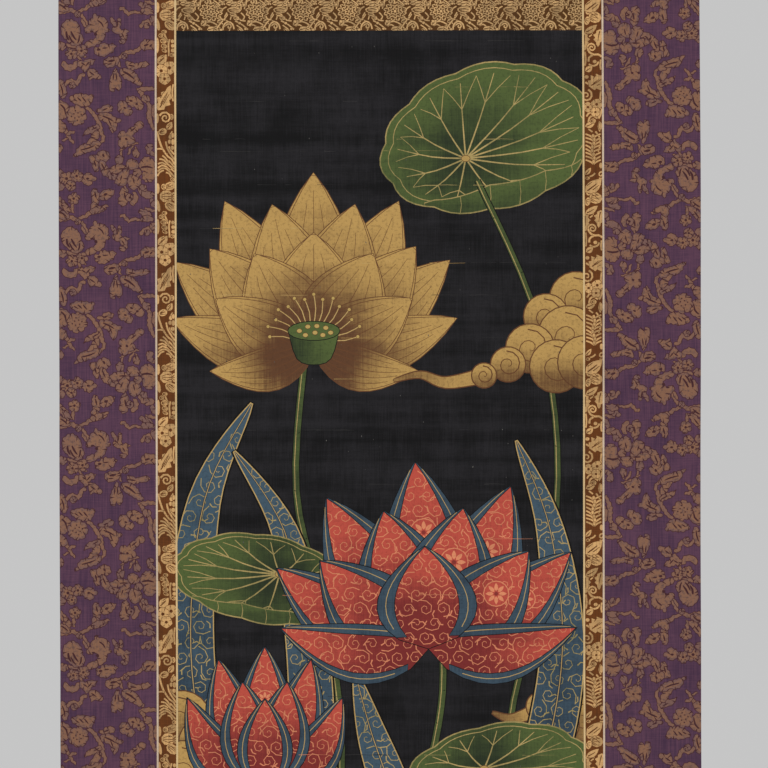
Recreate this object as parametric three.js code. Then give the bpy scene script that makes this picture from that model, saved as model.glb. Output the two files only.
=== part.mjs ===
import * as THREE from 'three';

// A hanging scroll: a painted silk panel in a mounting of patterned silk borders and thin fillets.
// Millimetres, +Z up. The front faces -Y, and +X is to the right of a person who looks at it.
// The origin is the middle of the top edge, where the scroll hangs.

// The sheet
const SHEET_THICKNESS = 1.2;
const SEAM_GAP = 0.3;
const CLOTH_WIDTH = 641;

// Widths of the bands at the sides, and their heights at the top and bottom
const OUTER_BORDER_WIDTH = 96;
const INNER_BORDER = { side: 17.3, end: 19 };
const FILLET = { side: 1.6, end: 1.6 };
const TOP_PANEL_HEIGHT = 330;
const TOP_STRIP_HEIGHT = 50;
const PAINTING_HEIGHT = 1090;
const BOTTOM_STRIP_HEIGHT = 26;
const BOTTOM_PANEL_DROP = 190;

// The heading: the top panel folded over a flat-fronted fold with a round back
const HEADING_HEIGHT = 24;
const HEADING_FRONT = 1.6;
const HEADING_BACK = 8.5;

// The wound roller at the foot, and the turned ends that stand out of it
const ROLLER_RADIUS = 15;
const KNOB_RADIUS = 16.5;
const KNOB_LENGTH = 27;
const KNOB_EDGE = 2.5;

// The way the sheet hangs: slow waves down its length, one edge curl at each side, and flat ends.
// Each wave has its length down the sheet, its depth, its start, and how far it slants across.
const WAVES = [
  { length: 455, depth: 1.7, start: 0.35, slant: 0.0011 },
  { length: 236, depth: 0.9, start: 1.9, slant: -0.0023 },
  { length: 151, depth: 0.45, start: 4.1, slant: 0.0041 },
];
const FLAT_AT_TOP = 110;
const FLAT_AT_FOOT = 150;
const CURL = { start: 205, depth: 2.6, length: 610, change: 0.45 };
const EDGE_WAVER = 0.0011;
const EDGE_WAVER_LENGTH = 830;

// Facet sizes
const ROW_STEP = 30;
const COLUMN_STEP = 34;
const ARC_POINTS = 10;
const KNOB_SIDES = 28;
const KNOB_EDGE_POINTS = 4;

const MATERIALS = {
  purple: { color: 0x5c4150, roughness: 0.62, metalness: 0.05 },
  brown: { color: 0x8e673e, roughness: 0.5, metalness: 0.2 },
  cream: { color: 0xc5b19d, roughness: 0.7, metalness: 0 },
  gold: { color: 0xc7a57a, roughness: 0.6, metalness: 0.05 },
  strip: { color: 0x85633c, roughness: 0.5, metalness: 0.2 },
  silk: { color: 0x222222, roughness: 0.75, metalness: 0 },
  lacquer: { color: 0x2a1813, roughness: 0.3, metalness: 0 },
};

const scroll = new THREE.Group();

function add(name, geometry, finish) {
  const mesh = new THREE.Mesh(geometry, new THREE.MeshStandardMaterial(MATERIALS[finish]));
  mesh.name = name;
  scroll.add(mesh);
  return mesh;
}

// The rectangle that is left within four strips round another one. A rectangle is given by its four edges,
// as seen from the front.
function inside(rect, band) {
  return {
    left: rect.left + band.side + SEAM_GAP,
    right: rect.right - band.side - SEAM_GAP,
    top: rect.top - band.end - SEAM_GAP,
    bottom: rect.bottom + band.end + SEAM_GAP,
  };
}

const INNER_BANDS_HEIGHT = FILLET.end + INNER_BORDER.end + FILLET.end + 3 * SEAM_GAP;
const STACK_HEIGHT = TOP_STRIP_HEIGHT + PAINTING_HEIGHT + BOTTOM_STRIP_HEIGHT + 2 * SEAM_GAP;

const opening = {
  left: -CLOTH_WIDTH / 2 + OUTER_BORDER_WIDTH + SEAM_GAP,
  right: CLOTH_WIDTH / 2 - OUTER_BORDER_WIDTH - SEAM_GAP,
  top: -TOP_PANEL_HEIGHT - SEAM_GAP,
  bottom: -TOP_PANEL_HEIGHT - SEAM_GAP - STACK_HEIGHT - 2 * INNER_BANDS_HEIGHT,
};
const BOTTOM_PANEL_TOP = opening.bottom - SEAM_GAP;
const ROLLER_AXIS = {
  y: SHEET_THICKNESS / 2 - ROLLER_RADIUS,
  z: BOTTOM_PANEL_TOP - BOTTOM_PANEL_DROP,
};

// The shape in which the sheet hangs
function smoothStep(from, to, value) {
  const t = THREE.MathUtils.clamp((value - from) / (to - from), 0, 1);
  return t * t * (3 - 2 * t);
}

function hangDepth(x, z) {
  const fade = smoothStep(HEADING_HEIGHT, HEADING_HEIGHT + FLAT_AT_TOP, -z)
    * smoothStep(ROLLER_RADIUS, ROLLER_RADIUS + FLAT_AT_FOOT, z - ROLLER_AXIS.z);
  let depth = 0;
  for (const wave of WAVES) {
    depth += wave.depth * Math.sin(2 * Math.PI * (-z / wave.length + wave.slant * x) + wave.start);
  }
  const out = smoothStep(CURL.start, CLOTH_WIDTH / 2, Math.abs(x));
  const turn = Math.sin(2 * Math.PI * z / CURL.length + Math.sign(x));
  const curl = CURL.depth * out * (1 - CURL.change + CURL.change * turn);
  return fade * (depth - curl);
}

function hang(geometry) {
  const point = geometry.getAttribute('position');
  for (let i = 0; i < point.count; i += 1) {
    const x = point.getX(i);
    const z = point.getZ(i);
    const waver = 1 + EDGE_WAVER * Math.sin(2 * Math.PI * z / EDGE_WAVER_LENGTH);
    point.setXYZ(i, x * waver, point.getY(i) + hangDepth(x, z), z);
  }
  geometry.computeVertexNormals();
  return geometry;
}

// A plain piece of the sheet, cut into facets that follow the waves
function sheet(name, rect, finish) {
  const width = rect.right - rect.left;
  const height = rect.top - rect.bottom;
  const columns = Math.max(1, Math.round(width / COLUMN_STEP));
  const rows = Math.max(1, Math.round(height / ROW_STEP));
  const geometry = new THREE.BoxGeometry(width, SHEET_THICKNESS, height, columns, 1, rows);
  geometry.translate((rect.left + rect.right) / 2, 0, (rect.top + rect.bottom) / 2);
  return add(name, hang(geometry), finish);
}

// Four strips round a rectangle. The top and bottom ones run right across it.
function frame(name, rect, band, finish) {
  const inner = inside(rect, band);
  const ends = { left: rect.left, right: rect.right };
  const sides = { top: inner.top, bottom: inner.bottom };
  sheet(`${name}_top`, { ...ends, top: rect.top, bottom: rect.top - band.end }, finish);
  sheet(`${name}_bottom`, { ...ends, top: rect.bottom + band.end, bottom: rect.bottom }, finish);
  sheet(`${name}_left`, { ...sides, left: rect.left, right: rect.left + band.side }, finish);
  sheet(`${name}_right`, { ...sides, left: rect.right - band.side, right: rect.right }, finish);
  return inner;
}

// A panel of the full width, from its outline seen from the side: x of the shape is the panel's depth
// and y its height.
function fullWidthPanel(name, outline, finish) {
  const steps = Math.round(CLOTH_WIDTH / COLUMN_STEP);
  const geometry = new THREE.ExtrudeGeometry(outline, { depth: CLOTH_WIDTH, steps, bevelEnabled: false });
  geometry.translate(0, 0, -CLOTH_WIDTH / 2);
  geometry.applyMatrix4(new THREE.Matrix4().makeBasis(
    new THREE.Vector3(0, 1, 0),
    new THREE.Vector3(0, 0, 1),
    new THREE.Vector3(1, 0, 0),
  ));
  return add(name, hang(geometry), finish);
}

// Points straight up or down a face of the sheet, a row apart
function faceLine(outline, depth, from, to) {
  const rows = Math.max(1, Math.round(Math.abs(to - from) / ROW_STEP));
  for (let i = 1; i <= rows; i += 1) {
    outline.lineTo(depth, from + (to - from) * i / rows);
  }
}

function arcLine(outline, centre, radii, from, to, points) {
  for (let i = 1; i <= points; i += 1) {
    const angle = from + (to - from) * i / points;
    outline.lineTo(centre.y + radii.y * Math.cos(angle), centre.z + radii.z * Math.sin(angle));
  }
}

function topPanelOutline() {
  const half = SHEET_THICKNESS / 2;
  const fold = { y: 0, z: -HEADING_HEIGHT / 2 };
  const outline = new THREE.Shape();
  outline.moveTo(half, -TOP_PANEL_HEIGHT);
  faceLine(outline, half, -TOP_PANEL_HEIGHT, -HEADING_HEIGHT);
  const back = { y: HEADING_BACK, z: HEADING_HEIGHT / 2 };
  arcLine(outline, fold, back, -Math.acos(half / HEADING_BACK), Math.PI / 2, ARC_POINTS);
  outline.lineTo(-HEADING_FRONT, -HEADING_FRONT);
  outline.lineTo(-HEADING_FRONT, -HEADING_HEIGHT + HEADING_FRONT);
  outline.lineTo(-half, -HEADING_HEIGHT - HEADING_FRONT);
  faceLine(outline, -half, -HEADING_HEIGHT - HEADING_FRONT, -TOP_PANEL_HEIGHT);
  return outline;
}

function bottomPanelOutline() {
  const half = SHEET_THICKNESS / 2;
  const meeting = Math.acos((-half - ROLLER_AXIS.y) / ROLLER_RADIUS);
  const round = { y: ROLLER_RADIUS, z: ROLLER_RADIUS };
  const frontEnd = ROLLER_AXIS.z + ROLLER_RADIUS * Math.sin(meeting);
  const outline = new THREE.Shape();
  outline.moveTo(-half, BOTTOM_PANEL_TOP);
  faceLine(outline, -half, BOTTOM_PANEL_TOP, frontEnd);
  arcLine(outline, ROLLER_AXIS, round, meeting, 2 * Math.PI, 3 * ARC_POINTS);
  faceLine(outline, half, ROLLER_AXIS.z, BOTTOM_PANEL_TOP);
  return outline;
}

// A turned end, closed on its axis, with its inner face against the roller's end
function knob(name, side) {
  const edge = [];
  for (let i = 0; i <= KNOB_EDGE_POINTS; i += 1) {
    const angle = Math.PI / 2 * i / KNOB_EDGE_POINTS;
    edge.push(new THREE.Vector2(
      KNOB_RADIUS - KNOB_EDGE + KNOB_EDGE * Math.cos(angle),
      KNOB_LENGTH - KNOB_EDGE + KNOB_EDGE * Math.sin(angle),
    ));
  }
  const profile = [new THREE.Vector2(0, 0), new THREE.Vector2(KNOB_RADIUS, 0), ...edge,
    new THREE.Vector2(0, KNOB_LENGTH)];
  const geometry = new THREE.LatheGeometry(profile, KNOB_SIDES);
  const mesh = add(name, geometry, 'lacquer');
  mesh.rotation.z = -side * Math.PI / 2;
  mesh.position.set(side * (CLOTH_WIDTH / 2 + SEAM_GAP), ROLLER_AXIS.y, ROLLER_AXIS.z);
  return mesh;
}

fullWidthPanel('outer_border_top', topPanelOutline(), 'purple');
fullWidthPanel('outer_border_bottom', bottomPanelOutline(), 'purple');
sheet('outer_border_left', { ...opening, left: -CLOTH_WIDTH / 2, right: opening.left - SEAM_GAP }, 'purple');
sheet('outer_border_right', { ...opening, left: opening.right + SEAM_GAP, right: CLOTH_WIDTH / 2 }, 'purple');

const withinOuterFillet = frame('outer_fillet', opening, FILLET, 'cream');
const withinInnerBorder = frame('inner_border', withinOuterFillet, INNER_BORDER, 'brown');
const middle = frame('inner_fillet', withinInnerBorder, FILLET, 'gold');

const paintingTop = middle.top - TOP_STRIP_HEIGHT - SEAM_GAP;
const paintingBottom = middle.bottom + BOTTOM_STRIP_HEIGHT + SEAM_GAP;
sheet('top_strip', { ...middle, bottom: middle.top - TOP_STRIP_HEIGHT }, 'strip');
sheet('painting', { ...middle, top: paintingTop, bottom: paintingBottom }, 'silk');
sheet('bottom_strip', { ...middle, top: middle.bottom + BOTTOM_STRIP_HEIGHT }, 'strip');

knob('knob_left', -1);
knob('knob_right', 1);

export default scroll;
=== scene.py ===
import math
import random
from collections import namedtuple

import bmesh
import bpy
import numpy as np
from bpy.props import FloatProperty, FloatVectorProperty, PointerProperty
from mathutils import Matrix, Vector
from mathutils.geometry import delaunay_2d_cdt


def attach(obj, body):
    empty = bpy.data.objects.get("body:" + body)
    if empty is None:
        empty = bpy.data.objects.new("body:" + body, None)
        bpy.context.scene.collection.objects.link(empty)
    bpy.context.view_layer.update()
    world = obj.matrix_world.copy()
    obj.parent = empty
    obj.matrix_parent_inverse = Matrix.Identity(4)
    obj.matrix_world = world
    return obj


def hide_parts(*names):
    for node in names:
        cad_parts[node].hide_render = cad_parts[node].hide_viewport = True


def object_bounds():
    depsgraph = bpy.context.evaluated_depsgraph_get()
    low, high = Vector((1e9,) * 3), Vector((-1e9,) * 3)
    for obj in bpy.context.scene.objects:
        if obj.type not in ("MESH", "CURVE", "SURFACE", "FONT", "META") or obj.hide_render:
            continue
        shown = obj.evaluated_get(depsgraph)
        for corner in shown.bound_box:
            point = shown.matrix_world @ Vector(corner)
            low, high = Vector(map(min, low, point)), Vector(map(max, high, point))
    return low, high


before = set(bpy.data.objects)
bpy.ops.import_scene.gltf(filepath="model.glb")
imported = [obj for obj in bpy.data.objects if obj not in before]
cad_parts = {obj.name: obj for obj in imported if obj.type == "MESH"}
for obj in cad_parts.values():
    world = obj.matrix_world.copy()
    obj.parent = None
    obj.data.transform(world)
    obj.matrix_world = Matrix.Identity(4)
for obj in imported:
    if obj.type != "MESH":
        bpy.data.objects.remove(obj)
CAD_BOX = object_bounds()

bl_info = {
    "name": "Hanging Scroll",
    "version": (1, 0, 0),
    "blender": (4, 5, 0),
    "location": "View3D > Sidebar > Scroll",
    "description": "Builds a mounted hanging scroll: painted silk, woven borders, fillets and roller ends",
    "category": "Object",
}

MM = 0.001

# The sheet, in millimetres, as in the solids
THICKNESS = 1.2
SEAM = 0.3
JOIN = 0.13
WIDTH = 641
OUTER_BORDER = 96
INNER_SIDE, INNER_END = 17.3, 19
FILLET = 1.6
TOP_PANEL = 330
TOP_STRIP = 50
PAINTING = 1090
BOTTOM_STRIP = 26
BOTTOM_DROP = 190
HEADING, HEADING_FRONT, HEADING_BACK = 24, 1.6, 8.5
ROLLER = 15
KNOB_RADIUS, KNOB_LENGTH = 16.5, 27

# The way it hangs, as in the solids
Wave = namedtuple("Wave", "length depth start slant")
WAVES = [
    Wave(455, 1.7, 0.35, 0.0011),
    Wave(236, 0.9, 1.9, -0.0023),
    Wave(151, 0.45, 4.1, 0.0041),
]
FLAT_AT_TOP = 110
FLAT_AT_FOOT = 150
CURL_START, CURL_DEPTH, CURL_LENGTH, CURL_CHANGE = 205, 2.6, 610, 0.45
WAVER, WAVER_LENGTH = 0.0011, 830

# Where the picture's frame begins below the top edge, so that patterns can be placed by it
VIEW_TOP = 373

# How finely the flat shapes are cut up before they are hung
FRONT_STEP = 11
BACK_STEP = 26
CROWN_STEPS = 4


# Sizes and colours that a user may change

def distance(name, description, millimetres, most=100):
    """A length, given here in millimetres and kept in metres."""
    return FloatProperty(name=name, description=description, default=millimetres * MM, min=0.0,
                         max=most * MM, precision=5, subtype="DISTANCE", unit="LENGTH")


def colour(name, description, red, green, blue):
    """A colour as a screen shows it, given in steps of 0 to 255."""
    return FloatVectorProperty(name=name, description=description, size=3, min=0.0, max=1.0,
                               subtype="COLOR_GAMMA", default=(red / 255, green / 255, blue / 255))


class ScrollSizes(bpy.types.PropertyGroup):
    """Fine sizes of the cloth, the painting and the roller ends."""

    # The motif edging is painted shade: a dark purple band round each raised motif, where its edge falls into
    # shade
    edging: distance("Motif edging", "Dark edging round each woven motif", 0.7, 3)
    slit: distance("Leaf slit", "Gap in the threads along the middle of a leaf", 1.2, 4)
    contour: distance("Contour", "Dark line round each painted form", 0.8, 3)
    fine_line: distance("Fine line", "Veins and scrolls in the painting", 0.9, 3)
    weave: distance("Weave relief", "Height of the threads", 0.15, 1)
    crease_depth: distance("Crease depth", "How proud a soft crease stands", 0.34, 2)
    crease_width: distance("Crease width", "Half the width of a soft crease", 2.2, 10)
    crown: distance("Fillet crown", "How far a folded fillet swells", 0.22, 1)
    groove: distance("Knob groove", "Depth of the turned groove near each roller end", 0.7, 3)
    dish: distance("Knob dish", "Depth of the shallow dish in each roller end", 0.9, 5)
    floor_radius: distance("Floor radius", "Size of the floor under the scroll", 2500, 5000)
    floor_drop: distance("Floor drop", "How far the floor lies below the roller", 200, 2000)


class ScrollColours(bpy.types.PropertyGroup):
    """Colours of the threads, papers, lacquer and pigments."""

    purple_cloth: colour("Purple cloth", "Ground of the outer borders", 74, 47, 73)
    purple_light: colour("Purple streaks", "Paler and warmer streaks of the outer borders", 88, 57, 75)
    # Painted shade: the dark purple round each raised motif and in the real gaps and notches between its
    # threads
    purple_dark: colour("Purple edging", "Dark edging of the copper motifs", 68, 34, 38)
    purple_hem: colour("Purple hem", "Turned edge of the outer borders", 116, 88, 104)
    copper_thread: colour("Copper thread", "Middles of the motifs of the outer borders", 122, 87, 66)
    rose_thread: colour("Rose thread", "Rims of the motifs of the outer borders", 134, 99, 92)
    brown_cloth: colour("Brown cloth", "Ground of the inner borders", 96, 51, 12)
    gold_thread: colour("Gold thread", "Motifs of the inner borders", 190, 149, 97)
    strip_cloth: colour("Strip cloth", "Ground of the gold brocade strips", 82, 48, 6)
    strip_thread: colour("Strip thread", "Motifs of the gold brocade strips", 188, 151, 102)
    cream_silk: colour("Cream silk", "Outer fillet", 206, 184, 160)
    pale_gold_silk: colour("Pale gold silk", "Inner fillet", 214, 184, 134)
    backing: colour("Backing", "Back of the sheet", 178, 165, 138)
    lacquer: colour("Lacquer", "Roller ends", 44, 26, 20)
    ink: colour("Ink ground", "Dark ground of the painting", 27, 26, 28)
    ink_line: colour("Ink line", "Contours of the painting", 17, 15, 16)
    gold: colour("Gold pigment", "Gold of the painting", 180, 144, 82)
    gold_shade: colour("Gold shade", "Shaded gold", 98, 62, 36)
    pale_gold: colour("Pale gold", "Fine gold lines", 190, 162, 104)
    ochre: colour("Ochre", "Pale ochre of the painting", 180, 153, 87)
    moss: colour("Moss green", "Light green of the painting", 78, 92, 48)
    moss_shade: colour("Moss shade", "Shaded green", 40, 50, 32)
    vermilion: colour("Vermilion", "Red of the painting", 182, 76, 62)
    vermilion_shade: colour("Vermilion shade", "Shaded red", 128, 44, 42)
    orange: colour("Orange", "Fine lines on the red", 204, 128, 92)
    indigo: colour("Indigo", "Blue of the painting", 62, 82, 96)
    indigo_shade: colour("Indigo shade", "Shaded blue", 34, 44, 58)
    rubbed: colour("Rubbed silk", "Fine rubbed lines in the painting", 62, 60, 59)
    fleck: colour("Flecks", "Small flecks in the painting", 104, 101, 96)
    floor: colour("Floor", "Studio floor", 205, 203, 200)


def size(name):
    """A size that a user may change, in millimetres."""
    return getattr(bpy.context.scene.scroll_sizes, name) / MM


# A rectangle of the sheet: left and right edges, and how far its top and bottom lie below the top edge
Rect = namedtuple("Rect", "left right top bottom")

INNER_BANDS = FILLET + INNER_END + FILLET + 3 * SEAM
STACK = TOP_STRIP + PAINTING + BOTTOM_STRIP + 2 * SEAM
OPENING = Rect(
    -WIDTH / 2 + OUTER_BORDER + SEAM,
    WIDTH / 2 - OUTER_BORDER - SEAM,
    TOP_PANEL + SEAM,
    TOP_PANEL + SEAM + STACK + 2 * INNER_BANDS,
)
FOOT_TOP = OPENING.bottom + SEAM
ROLLER_Y = THICKNESS / 2 - ROLLER
ROLLER_DOWN = FOOT_TOP + BOTTOM_DROP


def inside(rect, side, end):
    """What is left of a rectangle within four strips and their seams."""
    return Rect(
        rect.left + side + SEAM,
        rect.right - side - SEAM,
        rect.top + end + SEAM,
        rect.bottom - end - SEAM,
    )


def around(rect, side, end):
    """Four strips round a rectangle. The top and bottom ones run right across it."""
    inner = inside(rect, side, end)
    return {
        "top": Rect(rect.left, rect.right, rect.top, rect.top + end),
        "bottom": Rect(rect.left, rect.right, rect.bottom - end, rect.bottom),
        "left": Rect(rect.left, rect.left + side, inner.top, inner.bottom),
        "right": Rect(rect.right - side, rect.right, inner.top, inner.bottom),
    }


def joined(rect):
    """A rectangle drawn closer to its neighbours, except at the scroll's own edges."""
    return Rect(
        rect.left - (JOIN if rect.left > -WIDTH / 2 else 0),
        rect.right + (JOIN if rect.right < WIDTH / 2 else 0),
        rect.top - (JOIN if rect.top > 0 else 0),
        rect.bottom + (JOIN if rect.bottom < ROLLER_DOWN else 0),
    )


IN_OUTER_FILLET = inside(OPENING, FILLET, FILLET)
IN_INNER_BORDER = inside(IN_OUTER_FILLET, INNER_SIDE, INNER_END)
MIDDLE = inside(IN_INNER_BORDER, FILLET, FILLET)
PICTURE = MIDDLE._replace(top=MIDDLE.top + TOP_STRIP + SEAM, bottom=MIDDLE.bottom - BOTTOM_STRIP - SEAM)


# Hanging: flat cloth coordinates to the real place

def smooth_step(low, high, value):
    t = np.clip((value - low) / (high - low), 0, 1)
    return t * t * (3 - 2 * t)


def hang_depth(x, down):
    """How far the sheet swings off its plane, as in the solids."""
    fade = smooth_step(HEADING, HEADING + FLAT_AT_TOP, down)
    fade = fade * smooth_step(ROLLER, ROLLER + FLAT_AT_FOOT, ROLLER_DOWN - down)
    depth = 0
    for wave in WAVES:
        turns = down / wave.length + wave.slant * x
        depth = depth + wave.depth * np.sin(2 * np.pi * turns + wave.start)
    out = smooth_step(CURL_START, WIDTH / 2, np.abs(x))
    turn = np.sin(-2 * np.pi * down / CURL_LENGTH + np.sign(x))
    return fade * (depth - CURL_DEPTH * out * (1 - CURL_CHANGE + CURL_CHANGE * turn))


# Soft creases across the sheet, from years of rolling: how far down the middle lies, where across it
# lies, the span, how strong it is against the set depth, and its slope. Minus is a trough.
Crease = namedtuple("Crease", "down across span strength slope")
CREASES = [Crease(*row) for row in (
    (414, 40, 300, 0.5, 0.001), (460, 118, 190, 0.9, -0.004), (474, -110, 230, 1.0, 0.003),
    (512, -20, 420, -0.6, 0.002), (524, -60, 260, 1.0, -0.003), (558, 30, 380, 0.8, 0.004),
    (601, -90, 240, 0.6, 0.0), (636, 60, 330, 1.0, -0.002), (668, -30, 420, -0.5, 0.003),
    (711, 20, 300, 0.8, 0.002), (752, -70, 260, 0.7, -0.004), (803, 40, 400, 0.9, 0.001),
    (857, -20, 330, 0.6, 0.003), (912, 90, 240, 0.9, -0.002), (968, -50, 380, -0.6, 0.0),
    (1012, 20, 400, 0.8, 0.003), (1069, -30, 420, 1.0, -0.001), (1128, 60, 300, 0.7, 0.002),
    (1204, -40, 360, 0.8, 0.0), (1283, 30, 400, -0.6, -0.003), (1351, 10, 380, 0.9, 0.002),
    (1420, -60, 300, 0.7, 0.001), (232, -40, 620, 0.5, 0.001), (286, 60, 520, -0.5, -0.001),
    (1588, 20, 600, 0.6, 0.001), (1643, -50, 560, -0.5, 0.0),
)]
CREASE_ROWS = (-1.5, -0.7, 0, 0.7, 1.5)


def crease_line(crease, x):
    return crease.down + crease.slope * (x - crease.across)


def crease_depth(x, down):
    """How far the soft creases stand forward of the sheet."""
    depth = 0 * x
    for crease in CREASES:
        reach = np.exp(-((x - crease.across) / crease.span * 2) ** 4)
        away = (down - crease_line(crease, x)) / size("crease_width")
        depth = depth - size("crease_depth") * crease.strength * reach * np.exp(-away ** 2)
    return depth


def hung(x, y, down):
    """Real places, in metres, of points given across, through and down the flat sheet in millimetres."""
    waver = 1 - WAVER * np.sin(2 * np.pi * down / WAVER_LENGTH)
    depth = y + hang_depth(x, down) + crease_depth(x, down)
    return np.column_stack((x * waver, depth, -down)) * MM


# A sheet's section, seen from its side: points of depth and down, and the first and last point of
# the woven face. The way round is measured so that it equals down on the woven face.
Section = namedtuple("Section", "points first last anchor")


def plain_section(rect):
    half, top, bottom = THICKNESS / 2, rect.top, rect.bottom
    return Section([(half, bottom), (half, top), (-half, top), (-half, bottom), (half, bottom)], 1, 4, 2)


FOLD_STEPS, WOUND_STEPS = 10, 30


def arc(centre, radii, start, end, count):
    """Points of depth and down on an arc, with angles from the back towards the top."""
    return [
        (centre[0] + radii[0] * math.cos(a), centre[1] - radii[1] * math.sin(a))
        for a in (start + (end - start) * i / count for i in range(1, count + 1))
    ]


def heading_section(rect):
    """The top panel, folded over at the heading, with its woven face carried round to the back."""
    half = THICKNESS / 2
    start = -math.acos(half / HEADING_BACK)
    fold = arc((0, HEADING / 2), (HEADING_BACK, HEADING / 2), start, math.pi / 2, FOLD_STEPS)
    points = [(half, rect.bottom), (half, HEADING), *fold]
    points += [(-HEADING_FRONT, HEADING_FRONT), (-HEADING_FRONT, HEADING - HEADING_FRONT)]
    points += [(-half, HEADING + HEADING_FRONT), (-half, rect.bottom), (half, rect.bottom)]
    return Section(points, 1, len(points) - 1, len(points) - 3)


def foot_section(rect):
    """The bottom panel, with its woven face carried round the roller."""
    half = THICKNESS / 2
    meeting = math.acos((-half - ROLLER_Y) / ROLLER)
    meeting_down = ROLLER_DOWN - ROLLER * math.sin(meeting)
    wound = arc((ROLLER_Y, ROLLER_DOWN), (ROLLER, ROLLER), meeting, 2 * math.pi, WOUND_STEPS)
    points = [(half, rect.top), (-half, rect.top), (-half, meeting_down), *wound, (half, rect.top)]
    return Section(points, 0, len(points) - 2, 1)


# Flat drawing: shapes painted one over another

Shape = namedtuple("Shape", "outline paint within tone")
Fade = namedtuple("Fade", "start end low high")
Glow = namedtuple("Glow", "middle radius low high")


class Drawing:
    """Flat shapes in millimetres, across and down. A later shape covers an earlier one."""

    def __init__(self, seed):
        self.shapes = []
        self.chance = random.Random(seed)

    def add(self, outline, paint, within=None, tone=None):
        """Adds a shape and gives its number. A shape within another shows only on that one."""
        if tone is None:
            tone = self.chance.uniform(0.3, 0.7)
        self.shapes.append(Shape(outline, paint, within, tone))
        return len(self.shapes) - 1


def tone_at(tone, point):
    """A shape's tone at a point: one number, a fade from start to end, or a glow out from its middle."""
    if isinstance(tone, Fade):
        dx, dy = tone.end[0] - tone.start[0], tone.end[1] - tone.start[1]
        way = ((point[0] - tone.start[0]) * dx + (point[1] - tone.start[1]) * dy) / (dx * dx + dy * dy)
    elif isinstance(tone, Glow):
        way = math.hypot(point[0] - tone.middle[0], point[1] - tone.middle[1]) / tone.radius
    else:
        return tone
    way = min(1, max(0, way))
    return tone.low + (tone.high - tone.low) * way * way * (3 - 2 * way)


def box_of(outline):
    across = [p[0] for p in outline]
    down = [p[1] for p in outline]
    return min(across), min(down), max(across), max(down)


def overlaps(outline, rect):
    left, top, right, bottom = box_of(outline)
    return right > rect.left and left < rect.right and bottom > rect.top and top < rect.bottom


def clipped(outline, rect):
    """The part of an outline that lies within a rectangle."""
    left, top, right, bottom = box_of(outline)
    if left > rect.left and right < rect.right and top > rect.top and bottom < rect.bottom:
        return outline
    for axis, limit, way in ((0, rect.left, 1), (0, rect.right, -1), (1, rect.top, 1), (1, rect.bottom, -1)):
        kept = []
        for a, b in zip(outline[-1:] + outline[:-1], outline):
            a_inside, b_inside = way * (a[axis] - limit) > 0, way * (b[axis] - limit) > 0
            if a_inside != b_inside:
                part = (limit - a[axis]) / (b[axis] - a[axis])
                kept.append((a[0] + part * (b[0] - a[0]), a[1] + part * (b[1] - a[1])))
            if b_inside:
                kept.append(b)
        outline = kept
    return outline


def seen(shapes):
    """Leaves out the shapes that one later shape covers, and what lies within them."""
    boxes = [box_of(s.outline) for s in shapes]
    covers = []
    hidden = set()
    for number in range(len(shapes) - 1, -1, -1):
        shape, box = shapes[number], boxes[number]
        if any(
            c[0] < box[0] and c[1] < box[1] and c[2] > box[2] and c[3] > box[3]
            and all(holds(outline, p) for p in shape.outline)
            for c, outline in covers
        ):
            hidden.add(number)
        elif shape.within is None:
            covers.append((box, shape.outline))
    kept, numbers = [], {}
    for number, shape in enumerate(shapes):
        if number in hidden or (shape.within is not None and shape.within not in numbers):
            continue
        numbers[number] = len(kept)
        kept.append(shape._replace(within=numbers.get(shape.within)))
    return kept


POINTS_AT_ONCE = 20000
MERGE = 1e-4
CREASE_REACH = 0.7


def spaced(low, high, step):
    count = max(1, round((high - low) / step))
    return [low + (high - low) * i / count for i in range(count + 1)]


def within_outline(points, outline):
    """Which of the points lie within an outline."""
    start = np.array(outline)
    end = np.roll(start, -1, axis=0)
    found = []
    for first in range(0, len(points), POINTS_AT_ONCE):
        x, y = points[first:first + POINTS_AT_ONCE, :, None].transpose(1, 0, 2)
        crosses = (start[:, 1] > y) != (end[:, 1] > y)
        with np.errstate(divide="ignore", invalid="ignore"):
            level = start[:, 0] + (y - start[:, 1]) / (end[:, 1] - start[:, 1]) * (end[:, 0] - start[:, 0])
        found.append((crosses & (x < level)).sum(axis=1) % 2 == 1)
    return np.concatenate(found) if found else np.zeros(0, bool)


def topmost(points, shapes):
    """The number of the last shape that shows at each point, or -1."""
    order = np.argsort(points[:, 1])
    sorted_points = points[order]
    top = np.full(len(points), -1)
    parents = {shape.within for shape in shapes}
    held = {}
    marked = np.zeros(len(points), bool)
    marked_for = None
    for number, shape in enumerate(shapes):
        left, upper, right, lower = box_of(shape.outline)
        first, last = np.searchsorted(sorted_points[:, 1], (upper, lower))
        across = sorted_points[first:last, 0]
        near = first + np.flatnonzero((across > left) & (across < right))
        if shape.within is not None:
            if shape.within != marked_for:
                marked[:] = False
                marked[held[shape.within]] = True
                marked_for = shape.within
            near = near[marked[near]]
        near = near[within_outline(sorted_points[near], shape.outline)]
        top[near] = number
        if number in parents:
            held[number] = near
    shown = np.empty_like(top)
    shown[order] = top
    return shown


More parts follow.
